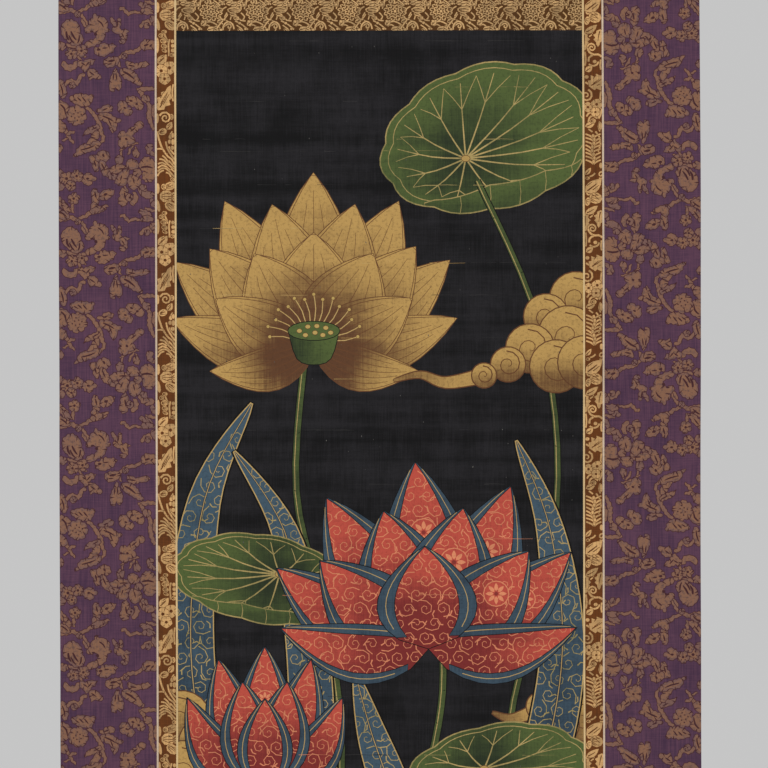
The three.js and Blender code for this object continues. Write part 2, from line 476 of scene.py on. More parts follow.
def cut_flat(rect, ways, first, last, shapes, steps):
    """Cuts the unrolled sheet into triangles along every shape, and tells what shows on each.

    0 is the back, 1 the plain woven face, and the shapes follow from 2."""
    points, edges = [], []

    def polygon(outline):
        start = len(points)
        points.extend(outline)
        edges.extend((start + i, start + (i + 1) % len(outline)) for i in range(len(outline)))

    polygon([(rect.left, ways[0]), (rect.right, ways[0]), (rect.right, ways[-1]), (rect.left, ways[-1])])
    for shape in shapes:
        polygon(shape.outline)
    across_front = spaced(rect.left, rect.right, steps[0])
    across_back = spaced(rect.left, rect.right, BACK_STEP)
    for i, way in enumerate(ways):
        at_seam = i in (0, len(ways) - 1)
        places = across_front if at_seam or first <= i <= last else across_back
        start = len(points)
        points.extend((x, way) for x in places)
        edges.extend((start + k, start + k + 1) for k in range(len(places) - 1))
        if i + 1 < len(ways):
            front = first <= i < last
            for row in spaced(way, ways[i + 1], steps[1] if front else BACK_STEP)[1:-1]:
                points.extend((x, row) for x in (across_front if front else across_back))
    for crease in CREASES:
        for row in CREASE_ROWS:
            for x in across_front[1:-1]:
                way = crease_line(crease, x) + row * size("crease_width")
                near = abs(x - crease.across) < crease.span * CREASE_REACH
                if near and ways[first] + 1 < way < ways[last] - 1:
                    points.append((x, way))
    made = delaunay_2d_cdt([Vector(p) for p in points], edges, [], 0, MERGE, False)
    flat, triangles = np.array([tuple(p) for p in made[0]]), np.array(made[2])
    middles = flat[triangles].mean(axis=1)
    across, way = middles.T
    kept = (across > rect.left) & (across < rect.right) & (way > ways[0]) & (way < ways[-1])
    triangles, middles, way = triangles[kept], middles[kept], way[kept]
    shown = np.where((way > ways[first]) & (way < ways[last]), topmost(middles, shapes) + 2, 0)
    used, triangles = np.unique(triangles, return_inverse=True)
    return flat[used], triangles.reshape(-1, 3), shown


# How far inside the woven face its pattern ends, so that the face's own edges stay plain lines
EDGE = 0.02


def make_sheet(name, rect, section, shapes, ground, edge=None, crown=0):
    """One closed sheet with its pattern cut into its woven face. A crown swells a narrow one."""
    ys = np.array([p[0] for p in section.points], float)
    downs = np.array([p[1] for p in section.points], float)
    ways = np.concatenate(([0], np.cumsum(np.hypot(np.diff(ys), np.diff(downs)))))
    ways += downs[section.anchor] - ways[section.anchor]
    face = Rect(rect.left + EDGE, rect.right - EDGE, ways[section.first] + EDGE, ways[section.last] - EDGE)
    numbers = {}
    near = []
    for number, shape in enumerate(shapes):
        if overlaps(shape.outline, face) and (shape.within is None or shape.within in numbers):
            outline = clipped(list(shape.outline), face)
            if len(outline) > 2:
                numbers[number] = len(near)
                near.append(shape._replace(outline=outline, within=numbers.get(shape.within)))
    upright = rect.right - rect.left < rect.bottom - rect.top
    narrow = min(rect.right - rect.left, rect.bottom - rect.top)
    fine = narrow / CROWN_STEPS if crown else FRONT_STEP
    steps = (fine, FRONT_STEP) if upright else (FRONT_STEP, fine)
    flat, triangles, shown = cut_flat(rect, list(ways), section.first, section.last, near, steps)
    x = flat[:, 0]
    y = np.interp(flat[:, 1], ways, ys)
    down = np.interp(flat[:, 1], ways, downs)
    if crown:
        part = (x - rect.left) / narrow if upright else (down - rect.top) / narrow
        y = np.where(y < 0, y - crown * (1 - (2 * part - 1) ** 2), y)
    mesh = bpy.data.meshes.new(name)
    mesh.from_pydata(hung(x, y, down).tolist(), [], triangles.tolist())
    paints = ["backing", ground]
    paints += [p for p in dict.fromkeys(s.paint for s in near) if p not in paints]
    if edge and edge not in paints:
        paints.append(edge)
    for paint in paints:
        mesh.materials.append(material(paint))
    of_shape = np.array([0, 1] + [paints.index(s.paint) for s in near])
    mesh.polygons.foreach_set("material_index", of_shape[shown])
    uv = mesh.uv_layers.new(name="cloth")
    uv.data.foreach_set("uv", (flat[triangles].ravel() * MM))
    tones = mesh.attributes.new("tone", "FLOAT", "CORNER")
    flat_points = flat.tolist()
    values = []
    for triangle, top in zip(triangles.tolist(), shown.tolist()):
        tone = near[top - 2].tone if top > 1 else 0.5
        values.extend(tone_at(tone, flat_points[i]) for i in triangle)
    tones.data.foreach_set("value", values)
    close_sheet(mesh, paints.index(edge or ground))
    return placed(mesh)


WELD = 1e-6
SHARP = math.radians(40)


def placed(mesh):
    """Puts a mesh into the scene, as an object of its name."""
    piece = bpy.data.objects.new(mesh.name, mesh)
    bpy.context.scene.collection.objects.link(piece)
    return piece


def close_sheet(mesh, edge_material):
    """Joins the seam at the sheet's back and fills its two cut sides."""
    shape = bmesh.new()
    shape.from_mesh(mesh)
    bmesh.ops.remove_doubles(shape, verts=shape.verts, dist=WELD)
    bmesh.ops.dissolve_degenerate(shape, edges=shape.edges, dist=WELD)
    rims = [e for e in shape.edges if e.is_boundary]
    filled = bmesh.ops.holes_fill(shape, edges=rims, sides=0)["faces"]
    for face in filled:
        face.material_index = edge_material
    bmesh.ops.triangulate(shape, faces=filled)
    bmesh.ops.recalc_face_normals(shape, faces=shape.faces)
    for face in shape.faces:
        face.smooth = True
    shape.to_mesh(mesh)
    shape.free()
    mesh.set_sharp_from_angle(angle=SHARP)


# Outlines

def paired(numbers):
    """Points, from across and down in turn."""
    return list(zip(numbers[::2], numbers[1::2]))


def turned(points, turn, size=1, across=0, down=0, flip=1):
    """Points sized, mirrored if flip is -1, turned by degrees and moved."""
    c, s = math.cos(math.radians(turn)) * size, math.sin(math.radians(turn)) * size
    return [(across + c * x - s * y * flip, down + s * x + c * y * flip) for x, y in points]


def signed_area(outline):
    return sum(a[0] * b[1] - b[0] * a[1] for a, b in zip(outline, outline[1:] + outline[:1])) / 2


def holds(outline, point):
    """Whether a point lies within an outline."""
    found = False
    x, y = point
    for (ax, ay), (bx, by) in zip(outline, outline[1:] + outline[:1]):
        if (ay > y) != (by > y) and x < ax + (y - ay) / (by - ay) * (bx - ax):
            found = not found
    return found


def grown(outline, by):
    """An outline moved outwards, or inwards if by is negative."""
    side = by if signed_area(outline) > 0 else -by
    moved = []
    for before, here, after in zip(outline[-1:] + outline[:-1], outline, outline[1:] + outline[:1]):
        dx, dy = after[0] - before[0], after[1] - before[1]
        length = math.hypot(dx, dy) or 1
        moved.append((here[0] + side * dy / length, here[1] - side * dx / length))
    return moved


LEAF_STEPS = 5
LEAF_TEETH = 4
TOOTH_OUT, TOOTH_IN = 1.12, 0.66


def both_sides(length, lean, halves):
    """A closed leaf from half its width at even steps along the first axis, bent sideways by lean."""
    upper, lower = [], []
    for i, half in enumerate(halves, 1):
        t = i / (len(halves) + 1)
        middle = lean * length * math.sin(math.pi * t)
        upper.append((length * t, middle + half))
        lower.append((length * t, middle - half))
    return [(0, 0), *lower, (length, 0), *reversed(upper)]


def leaf_outline(length, width, lean=0):
    """A leaf or petal."""
    ways = (i / LEAF_STEPS for i in range(1, LEAF_STEPS))
    return both_sides(length, lean, [width / 2 * math.sin(math.pi * t ** 0.8) ** 0.8 for t in ways])


def ragged_outline(length, width, lean):
    """A leaf with teeth along both sides."""
    steps = range(1, 2 * LEAF_TEETH)
    halves = [width / 2 * math.sin(math.pi * (i / (2 * LEAF_TEETH)) ** 0.75) for i in steps]
    return both_sides(length, lean, [h * (TOOTH_OUT if i % 2 else TOOTH_IN) for i, h in zip(steps, halves)])


def round_outline(radius, points=9, squash=1):
    return [
        (radius * math.cos(2 * math.pi * i / points), radius * squash * math.sin(2 * math.pi * i / points))
        for i in range(points)
    ]


def disc(across, down, radius, points, squash=1):
    """A round outline in its place."""
    return turned(round_outline(radius, points, squash), 0, 1, across, down)


def lobed_outline(radius, lobes, depth, steps):
    points = []
    for i in range(lobes * steps):
        a = 2 * math.pi * i / (lobes * steps)
        r = radius * (1 - depth + depth * abs(math.cos(a * lobes / 2)))
        points.append((r * math.cos(a), r * math.sin(a)))
    return points


def curve(points, steps=3):
    """A smooth line through points."""
    line = []
    padded = [points[0], *points, points[-1]]
    for p0, p1, p2, p3 in zip(padded, padded[1:], padded[2:], padded[3:]):
        for i in range(steps):
            t = i / steps
            line.append(tuple(
                0.5 * (2 * b + (c - a) * t + (2 * a - 5 * b + 4 * c - d) * t * t
                       + (3 * b - a - 3 * c + d) * t ** 3)
                for a, b, c, d in zip(p0, p1, p2, p3)
            ))
    return [*line, points[-1]]


def ribbon(line, start, end=None, belly=0):
    """The outline of a line drawn with a width that may change along it and swell in its middle."""
    end = start if end is None else end
    left, right = [], []
    last = len(line) - 1
    for i, (x, y) in enumerate(line):
        before, after = line[max(0, i - 1)], line[min(last, i + 1)]
        dx, dy = after[0] - before[0], after[1] - before[1]
        length = math.hypot(dx, dy) or 1
        half = (start + (end - start) * i / last + belly * math.sin(math.pi * i / last)) / 2
        left.append((x - half * dy / length, y + half * dx / length))
        right.append((x + half * dy / length, y - half * dx / length))
    return left + right[::-1]


SPIRAL_HEART = 0.12


def spiral_line(radius, turns, start=0, steps=9):
    """A line that winds in from radius to near the middle."""
    count = max(4, round(turns * steps))
    line = []
    for i in range(count + 1):
        t = i / count
        r = radius * (1 - (1 - SPIRAL_HEART) * t)
        a = start + 2 * math.pi * turns * t
        line.append((r * math.cos(a), r * math.sin(a)))
    return line


# Materials

def linear(shown):
    """A colour as a screen shows it, from 0 to 1, as light."""
    held = [min(1, max(0, c)) for c in shown[:3]]
    return [c / 12.92 if c <= 0.04045 else ((c + 0.055) / 1.055) ** 2.4 for c in held] + [1.0]


def tinted(name, by):
    """A colour that a user may change, made lighter or darker by a part of itself."""
    return linear([c * (1 + by) for c in getattr(bpy.context.scene.scroll_colours, name)])


def node(tree, kind, *values, **settings):
    """Adds a node, sets it up, and joins or fills its inputs in order. None leaves an input alone."""
    made = tree.nodes.new("ShaderNode" + kind)
    for name, value in settings.items():
        setattr(made, name, value)
    for socket, value in zip(made.inputs, values):
        if isinstance(value, bpy.types.NodeSocket):
            tree.links.new(value, socket)
        elif value is not None:
            socket.default_value = value
    return made


def maths(tree, operation, *values):
    return node(tree, "Math", *values, operation=operation).outputs[0]


def mixed(tree, part, first, second):
    """Colours mixed by part. A mix node's first colour input follows five that numbers and vectors use."""
    unused = (None,) * 5
    return node(tree, "Mix", part, *unused, first, second, data_type="RGBA").outputs[2]


def spread(tree, value, low, high, to_low=0.0, to_high=1.0):
    """A value from low to high, made to run between two others and held there."""
    made = node(tree, "MapRange", value, low, high, to_low, to_high, interpolation_type="SMOOTHSTEP")
    return made.outputs[0]


def noise(tree, place, across, down, detail, rough, offset):
    """Noise in cloth coordinates, with so many changes a metre each way."""
    shift, scale = (offset, offset, offset), (across, down, 1.0)
    moved = node(tree, "Mapping", place, shift, None, scale, vector_type="POINT")
    made = node(tree, "TexNoise", noise_dimensions="2D")
    tree.links.new(moved.outputs[0], made.inputs["Vector"])
    made.inputs["Scale"].default_value = 1.0
    made.inputs["Detail"].default_value = detail
    made.inputs["Roughness"].default_value = rough
    return made.outputs[0]


# A thread or pigment: the colours of its dark and light parts, how far each is tinted apart, how much
# its threads streak it, how much it is blotched and banded, how deep its weave is, its roughness, its
# metal part, its gloss, and how rubbed it is
Finish = namedtuple("Finish", "dark light apart streak blotch band weave rough metal gloss worn")

FINISHES = {
    "purple_ground": ("purple_cloth", "purple_light", 0.09, 1.0, 0.9, 0.1, 0.5, 0.72, 0, 0.2, 0.1),
    # Painted shade round and between the purple cloth's raised motifs
    "purple_edge": ("purple_dark", "purple_dark", 0.1, 0.4, 0.4, 0, 0.5, 0.75, 0, 0.2, 0),
    "purple_hem": ("purple_hem", "purple_hem", 0.1, 0.6, 0.6, 0, 0.4, 0.75, 0, 0.2, 0.1),
    "copper_thread": ("rose_thread", "copper_thread", 0.12, 0.9, 0.5, 0, 0.8, 0.55, 0.1, 0.2, 0.85),
    "brown_ground": ("brown_cloth", "brown_cloth", 0.18, 0.7, 0.7, 0, 0.5, 0.7, 0, 0.2, 0.1),
    "gold_thread": ("gold_thread", "gold_thread", 0.17, 0.9, 0.7, 0, 0.8, 0.5, 0.15, 0.25, 0.2),
    "strip_ground": ("strip_cloth", "strip_cloth", 0.12, 0.6, 0.6, 0, 0.5, 0.65, 0, 0.2, 0.1),
    "strip_gold": ("strip_thread", "strip_thread", 0.15, 0.8, 0.7, 0, 0.8, 0.5, 0.15, 0.25, 0.2),
    "cream_fold": ("cream_silk", "cream_silk", 0.07, 0.5, 0.9, 0, 0.3, 0.75, 0, 0.2, 0.25),
    "pale_gold_fold": ("pale_gold_silk", "pale_gold_silk", 0.08, 0.5, 0.9, 0, 0.3, 0.6, 0.1, 0.2, 0.2),
    "backing": ("backing", "backing", 0.08, 0.35, 1.0, 0.3, 0.25, 0.9, 0, 0.15, 0.15),
    "ink_silk": ("ink", "ink", 0.42, 0.6, 1.1, 1.2, 0.35, 0.6, 0, 0.1, 0.25),
    "ink_line": ("ink_line", "ink_line", 0.15, 0.4, 0.5, 0.2, 0.3, 0.6, 0, 0.1, 0.1),
    "gold": ("gold_shade", "gold", 0.05, 0.3, 0.5, 0.5, 0.25, 0.55, 0.1, 0.2, 0.3),
    "gold_line": ("gold", "pale_gold", 0.04, 0.3, 0.8, 0.2, 0.25, 0.5, 0.15, 0.2, 0.3),
    "gold_contour": ("gold_shade", "gold_shade", 0.12, 0.3, 0.6, 0.2, 0.25, 0.6, 0, 0.15, 0.1),
    "ochre": ("gold", "ochre", 0.04, 0.3, 0.6, 0.5, 0.25, 0.6, 0, 0.2, 0.2),
    "moss": ("moss_shade", "moss", 0.06, 0.35, 0.6, 0.5, 0.25, 0.65, 0, 0.15, 0.25),
    "moss_line": ("moss", "pale_gold", 0.05, 0.3, 0.8, 0.2, 0.25, 0.6, 0, 0.15, 0.25),
    "vermilion": ("vermilion_shade", "vermilion", 0.05, 0.35, 0.6, 0.5, 0.25, 0.65, 0, 0.15, 0.2),
    "orange_line": ("orange", "orange", 0.12, 0.3, 0.8, 0.2, 0.25, 0.6, 0, 0.15, 0.25),
    "rubbed_line": ("ink", "rubbed", 0.0, 0.4, 0.6, 0, 0.25, 0.7, 0, 0.15, 0),
    "fleck": ("rubbed", "fleck", 0.05, 0.4, 0.6, 0, 0.25, 0.7, 0, 0.15, 0),
    "indigo": ("indigo_shade", "indigo", 0.06, 0.35, 0.6, 0.5, 0.25, 0.65, 0, 0.15, 0.25),
}
SHEEN, SHEEN_ROUGHNESS = 0.08, 0.4
DULL = 0.1
STREAK = 0.9
WEFT_PART = 0.6
WORN_DARK, WORN_FROM, WORN_TO = -0.28, 0.5, 0.68

# Noises: changes a metre across and down, detail, roughness and offset
WARP = (780, 30, 1.0, 0.5, 0.0)
WEFT = (60, 820, 1.0, 0.5, 7.3)
BLOTCH = (24, 19, 4.0, 0.6, 3.1)
BANDS = (1.6, 60, 2.0, 0.6, 5.9)
PATCHES = (290, 340, 3.0, 0.7, 11.7)
LACQUER_RINGS = (900, 14, 3.0, 0.6, 0.0)
LACQUER_CLOUD = (60, 60, 4.0, 0.6, 4.7)
FLOOR_CLOUD = (3, 3, 4.0, 0.6, 0.0)
LACQUER_RELIEF, LACQUER_HEIGHT = 0.25, 0.0001


def new_material(name):
    """A material, its nodes and its shader."""
    made = bpy.data.materials.new(name)
    made.use_nodes = True
    return made, made.node_tree, made.node_tree.nodes["Principled BSDF"]


def fill_in(shader, values):
    """Sets plain values on the shader's own sockets."""
    for name, value in values.items():
        shader.inputs[name].default_value = value


def raise_threads(tree, shader, strength, height, relief):
    """Gives a material its fine relief, with a height in metres."""
    bump = node(tree, "Bump", strength, height)
    tree.links.new(relief, bump.inputs["Height"])
    tree.links.new(bump.outputs[0], shader.inputs["Normal"])


def material(name):
    """The finish of a thread or pigment, made once."""
    if name in bpy.data.materials:
        return bpy.data.materials[name]
    finish = Finish(*FINISHES[name])
    made, tree, shader = new_material(name)
    place = node(tree, "UVMap", uv_map="cloth").outputs[0]
    tone = node(tree, "Attribute", attribute_name="tone").outputs["Fac"]
    warp, weft, blotch, bands = (noise(tree, place, *row) for row in (WARP, WEFT, BLOTCH, BANDS))
    weft = maths(tree, "MULTIPLY_ADD", weft, WEFT_PART, 0.5 - 0.5 * WEFT_PART)
    threads = maths(tree, "ADD", warp, weft)
    part = maths(tree, "MULTIPLY_ADD", threads, STREAK * finish.streak, -STREAK * finish.streak)
    part = maths(tree, "ADD", part, tone)
    for change, amount in ((blotch, finish.blotch), (bands, finish.band)):
        part = maths(tree, "ADD", part, maths(tree, "MULTIPLY_ADD", change, amount, -0.5 * amount))
    dark, light = tinted(finish.dark, -finish.apart), tinted(finish.light, finish.apart)
    shown = mixed(tree, spread(tree, part, 0.0, 1.0), dark, light)
    if finish.worn:
        rubbed = spread(tree, noise(tree, place, *PATCHES), WORN_FROM, WORN_TO, 0.0, finish.worn)
        shown = mixed(tree, rubbed, shown, tinted(finish.dark, WORN_DARK))
    tree.links.new(shown, shader.inputs["Base Color"])
    fill_in(shader, {
        "Roughness": finish.rough, "Metallic": finish.metal, "Specular IOR Level": finish.gloss,
        "Sheen Weight": SHEEN if finish.gloss > DULL else 0.0, "Sheen Roughness": SHEEN_ROUGHNESS,
    })
    raise_threads(tree, shader, finish.weave, size("weave") * MM, threads)
    return made


def lacquer_material():
    """Dark turned lacquer: brown under black, worn to a warmer brown in thin rings, with a clear coat."""
    made, tree, shader = new_material("dark_lacquer")
    place = node(tree, "TexCoord").outputs["Object"]
    rings = noise(tree, place, *LACQUER_RINGS)
    cloud = noise(tree, place, *LACQUER_CLOUD)
    part = maths(tree, "ADD", maths(tree, "MULTIPLY", rings, 0.6), maths(tree, "MULTIPLY", cloud, 0.6))
    shown = mixed(tree, spread(tree, part, 0.4, 0.85), tinted("lacquer", -0.45), tinted("lacquer", 0.5))
    tree.links.new(shown, shader.inputs["Base Color"])
    fill_in(shader, {"Roughness": 0.34, "Coat Weight": 0.5, "Coat Roughness": 0.12})
    raise_threads(tree, shader, LACQUER_RELIEF, LACQUER_HEIGHT, rings)
    return made


def floor_material():
    made, tree, shader = new_material("pale_floor")
    cloud = noise(tree, node(tree, "TexCoord").outputs["Object"], *FLOOR_CLOUD)
    shown = mixed(tree, cloud, tinted("floor", -0.04), tinted("floor", 0.04))
    tree.links.new(shown, shader.inputs["Base Color"])
    fill_in(shader, {"Roughness": 0.85})
    return made


# Drawing with threads

class Pen:
    """Draws motifs into a drawing, placed, turned and sized, in one thread with an edging of another."""

    def __init__(self, drawing, thread, edging, edge, within=None):
        self.drawing = drawing
        self.thread = thread
        self.edging = edging
        self.edge = edge
        self.within = within
        self.place = (0, 0, 0, 1, 1)

    def at(self, across, down, turn=0, size=1, flip=1):
        self.place = (across, down, turn, size, flip)
        return self

    def put(self, outline):
        across, down, turn, size, flip = self.place
        return turned(outline, turn, size, across, down, flip)

    def fill(self, outline, tone=None, edge=None):
        """A woven shape with its darker edging. On the purple cloth the edging is painted shade round the
        raised motif; on the other cloths it is the ground.
        """
        placed = self.put(outline)
        edge = self.edge if edge is None else edge
        if edge:
            self.drawing.add(grown(placed, edge), self.edging, self.within, 0.5)
        return self.drawing.add(placed, self.thread, self.within, tone)

    def slit(self, outline, within=None):
        """A gap in the threads through which the edging shows. On the purple cloth the gap is real, and its
        darkness below the ground's colour is painted shade.
        """
        return self.drawing.add(self.put(outline), self.edging, within, 0.4)


class TurnedPen(Pen):
    """A pen that draws turned round a point, by half a turn or by a quarter."""

    def __init__(self, pen, across, down, turn=180):
        super().__init__(pen.drawing, pen.thread, pen.edging, pen.edge, pen.within)
        self.about = (across, down)
        self.turn = turn

    def put(self, outline):
        return turned(super().put(outline), self.turn, 1, *self.about)


MIDRIB = (0.12, 0.3, 0.5, 0.68)
SLIT_END = 0.5


def draw_leaf(pen, length, width, lean, ragged):
    """A leaf with a slit for its midrib."""
    base = pen.fill((ragged_outline if ragged else leaf_outline)(length, width, lean))
    rib = [(length * t, lean * length * math.sin(math.pi * t)) for t in MIDRIB]
    pen.slit(ribbon(rib, size("slit"), SLIT_END), base)


def draw_blossom(pen, radius, petals):
    """A small open blossom of round petals with a dark eye."""
    base = pen.fill(lobed_outline(radius, petals, 0.22, 3))
    start, end, half = radius * 0.35, radius * 0.8, 0.45
    for i in range(petals):
        pen.slit(turned([(start, 0), (end, -half), (end, half)], 360 * (i + 0.5) / petals), base)
    pen.slit(round_outline(radius * 0.28, 5), base)


# The purple cloth: one repeat of its pattern, in millimetres from the cloth's left edge and down

PURPLE_REPEAT = 207
PURPLE_ACROSS = 128
FORM_SWELL = 0.5
FRAY = 0.85
FRAY_STEP = 2.3
FRAY_BACK = -0.7
RIM = 1.2
RIM_LEAST = 4.2
RIM_TONE = 0.1
CORE_TONE = 0.9
STEM_TONE = 0.6
TONE_SPREAD = 0.5
NOTCH_EVERY = 11
NOTCH_WIDE = 0.8
NOTCH_LEAST, NOTCH_MOST = 2.4, 5.5
NOTCH_SHARE = 1.3
NOTCH_LEAN = 0.8
# Widths at the start, at the end and gained in the middle, as parts of the width that a table gives
STEM_TAPER = (0.8, 0.6, 0.6)
SLIT_TAPER = (0.85, 0.5, 0.7)

# Leaves, petals and lobes: the points that each edge runs through, across and down in turn
FORMS = [
    [0,2, 5,4, 10,8, 8,11, 3,11, 0,8], [4,-4, 8,-2, 11,3, 9,5, 6,2], [31,4, 35,1, 40,-1, 44,1, 40,3, 36,6],
    [3.5,31, 3.5,26, 6.5,22, 11,19.5, 15,21, 19,24, 21,28, 21.5,33, 24,37, 23.5,41, 21,44, 16.5,45,
     12,42.5, 8.5,39, 5,36],
    [36,13.5, 38.5,16.5, 43,17, 47,19.5, 49,24, 48,28, 51,30, 46.5,32, 45.5,37, 43,41, 38,43.5, 33,46,
     28.5,47, 27,44, 30.5,41, 35,40, 38,37, 37.5,32, 33.5,30.5, 30,32, 27,31, 28.5,27, 31.5,24.5, 31,21,
     35,18],
    [54,28, 57,26.5, 59,22, 60.5,18, 62,22, 61,27, 62.5,30.5, 66,29.5, 70,31, 67.5,33, 68,37, 66.5,41,
     63.5,38, 61,33.5, 56,32],
    [52,17.5, 55,19.5, 57,24, 56.5,27, 54.5,24], [60.5,41, 64,39.5, 67,41.5, 62,43],
    [80,3, 85,2.5, 90,5, 93,8, 86,8, 82,6], [82,11, 86,8.5, 91,9, 95,12, 89,13.5, 84,13],
    [86,25, 88,22.5, 90.5,25, 88,28], [91.5,18, 94,15.5, 98,19, 97,26, 93.5,23],
    [36.5,51, 37,46.5, 40,48, 42,44.5, 46,43.5, 50,44.8, 53.5,44, 57,46, 54.5,48.5, 54.5,51, 51,52,
     48,54.5, 43,55.5, 38.5,54],
    [0,43, 4,42.5, 7,45, 6,48.5, 2,49, 0,48],
    [82,44, 85,41, 88,39.5, 91,41, 94,40, 97,44, 94.5,49, 90,48.5, 86,49.5, 83,47.5],
    [20,60, 25,61.5, 29,59.5, 36,60, 33.5,63.5, 30,65.5, 29.5,69.5, 26,71, 23,67, 20,65],
    [29,70, 33,69, 37,70.5, 39,73.5, 42.5,77.5, 38,78.5, 35,77, 31.5,79, 30,74.5],
    [45.5,61.5, 48.5,58.5, 53,57.5, 57,57, 60,58.5, 59.5,62.5, 56.5,65, 51.5,66.5, 47.5,65.5],
    [67.5,61.5, 71,62, 76,64, 82,63, 87,62, 90,64, 86.5,66.5, 80,67, 76,68.5, 70.5,68.5, 68.5,65],
    [61.5,71.5, 64,68.5, 69,69, 73.5,71, 77.5,75, 80,80, 83.5,84.5, 80.5,85, 75,82, 70,79.5, 65,76.5],
    [57,67.5, 58.5,72, 60.5,76, 62.5,81.5, 61.5,88.5, 58.5,89, 56.5,86, 55,90.5, 52,89.5, 51.5,83, 53,76.5,
     55.5,71.5],
    [0,81, 4,80.5, 5.5,85, 7.5,90, 7,95, 4,98, 1.5,94, 0,92],
    [11,97.5, 15,95.5, 20,94, 25,94.5, 30,95.5, 34.5,95, 33,100.5, 30.5,104.5, 25,105.5, 20,104, 15,101.5],
    [83.5,96, 87.5,95.5, 91,98, 89,101.5, 85,101],
    [68,98, 72,96.5, 77,97, 80,99, 83,102, 84,107, 80,109, 76,106, 72,105, 69,102],
    [60,103, 64,101, 68,103, 69,107, 73,109, 73,113, 69,115, 65,112, 61,111],
    [0,101.5, 5,102, 9,104.5, 11,108.5, 10.5,113, 7,117, 3,118.5, 0,117],
    [38,110, 43,108.5, 47,105.5, 52,105.5, 54,108.5, 50,111, 44,112],
    [40,114.5, 45,113, 50,113.5, 54,116, 58,118.5, 62.5,120, 58,122.5, 57.5,127, 54,132, 51.5,127.5,
     50.5,123.5, 46,120.5, 42,119],
    [40,124.5, 34.5,126.5, 28.5,129, 25,135, 29.5,132.5, 33,132, 37,130.5, 40.5,127],
    [39,131, 35,133, 33,137, 29,143, 34.5,143, 38,139, 40,134],
    [15,156, 18,152, 20.5,147, 26,144, 31,145, 35,142, 41,141.5, 40.5,145.5, 36,149, 31,150.5, 26,152.5,
     20,154],
    [0,120, 4,122, 7,126, 6,130, 2,131, 0,130], [0,144, 3,145, 3,150, 0,151],
    [69,131.5, 72,128, 76,126.5, 77.5,123, 82.5,121.5, 84.5,125.5, 80,128.5, 76,132, 73,135.5, 76,140,
     73,143, 69,143, 66,147, 61.5,146, 60,142, 61.5,138.5, 60,134, 63.5,131, 67,133],
    [74,153, 76,149, 79,151, 80,155, 77,156.5], [88,145, 91,144, 94,146, 92,150, 97,155, 91,154, 88,150],
    [30.5,157, 34,155, 38,157, 39.5,162, 38.5,170.5, 35,168, 34,163],
    [37,157, 40,152.5, 44.5,150.5, 49,152.5, 50.5,157, 47,160, 42,160, 39,160.5],
    [41,161, 44,160.5, 47,165, 50,170, 51.5,176, 47,175, 43,170.5],
    [50,172, 54,171, 58,175, 56,178.5, 51,177.5], [57,159.5, 60,155, 64,157, 63,162, 59,163],
    [50.5,169.5, 55,166, 61,164.5, 67,166, 70.5,169, 65,170.5, 60,171.5, 55,172.5],
    [69,168.5, 69.5,173, 67.5,178, 67,183.5, 62,184.5, 57,182, 58,178, 61,173.5, 64.5,170.5],
    [70,176.5, 74,174, 79,176, 81.5,181, 79.5,186, 75,188.5, 71,186, 69.5,181],
    [80,166, 83,160, 88,157, 93,159, 97,166, 97,174, 92,180.5, 87,180.5, 84,176, 85,170.5, 82,168],
    [68,162, 72,159, 77,161, 79.5,166, 75,168.5, 70,167], [81,186, 85,184.5, 87.5,189.5, 83,190.5],
    [79.5,188, 84,191.5, 90,191, 96,194, 90,197.5, 85,196, 81,192.5],
    [75,171, 78,169, 82,171, 81,174.5, 77,175],
    [23,178, 26,174.5, 31,173, 34,176, 37.5,178, 33.5,180.5, 32,184, 27.5,183.5, 24.5,181],
    [0,169, 3,170, 4,174, 0,176], [0,182, 4,184, 5,188, 0,190],
    [0,196, 3,199, 8,204, 12,211, 6,210, 2,205, 0,203],
    [33.5,190, 36.5,188, 38.5,191.5, 41,195.5, 40,200, 37,205, 34,201, 33.5,196],
    [41,196, 43.5,191.5, 48,189.5, 55,190, 52.5,195, 48,198.5, 42.5,198.5],
    [33,203, 37,203, 40,207, 46,205, 47,208, 42,211, 36,212, 33,209],
    [62,190, 66,186, 68.5,190, 68.5,197, 67.5,203.5, 63,205, 60,200.5, 62,195.5],
    [68,195, 72,194, 73,199, 69,200], [92,198, 95,200, 98,207, 93,205],
    [99,62, 104,57, 111,56, 117,60, 114,65, 107,67, 101,66],
    [103,72, 108,70, 112,75, 116,82, 113,86, 107,82, 104,77],
    [100,112, 106,108, 113,109, 119,106, 117,112, 110,116, 103,117],
    [107,122, 111,119, 114,124, 119,129, 117,136, 112,134, 108,129],
    [100,142, 105,139, 112,141, 118,146, 112,149, 105,147],
    [104,184, 109,180, 116,181, 122,178, 121,184, 114,188, 107,189],
    [101,26, 107,22, 113,25, 119,24, 117,30, 110,33, 104,31],
]

# Round blossoms with a dark eye: across, down, radius, turn and how many petals
Bloom = namedtuple("Bloom", "across down radius turn petals")
BLOSSOMS = [
    (19, 14, 2.9, 0, 4), (23, 50.5, 5.9, 10, 5), (13, 53.5, 5.8, 40, 5), (66, 56, 2.7, 0, 4),
    (14, 85, 3.2, 20, 4), (18, 115, 9.9, 10, 8), (8, 178, 6.8, 15, 5), (12, 185, 5.2, 30, 5),
    (18, 175.5, 5.9, 50, 5), (15, 198, 5.8, 60, 5), (110, 96, 6.4, 12, 5), (104, 168, 6.8, 40, 5),
    (115, 165, 5.4, 10, 5), (117, 200, 6.0, 0, 5), (109, 12, 6.6, 25, 5), (117, 17, 5.0, 5, 5),
]

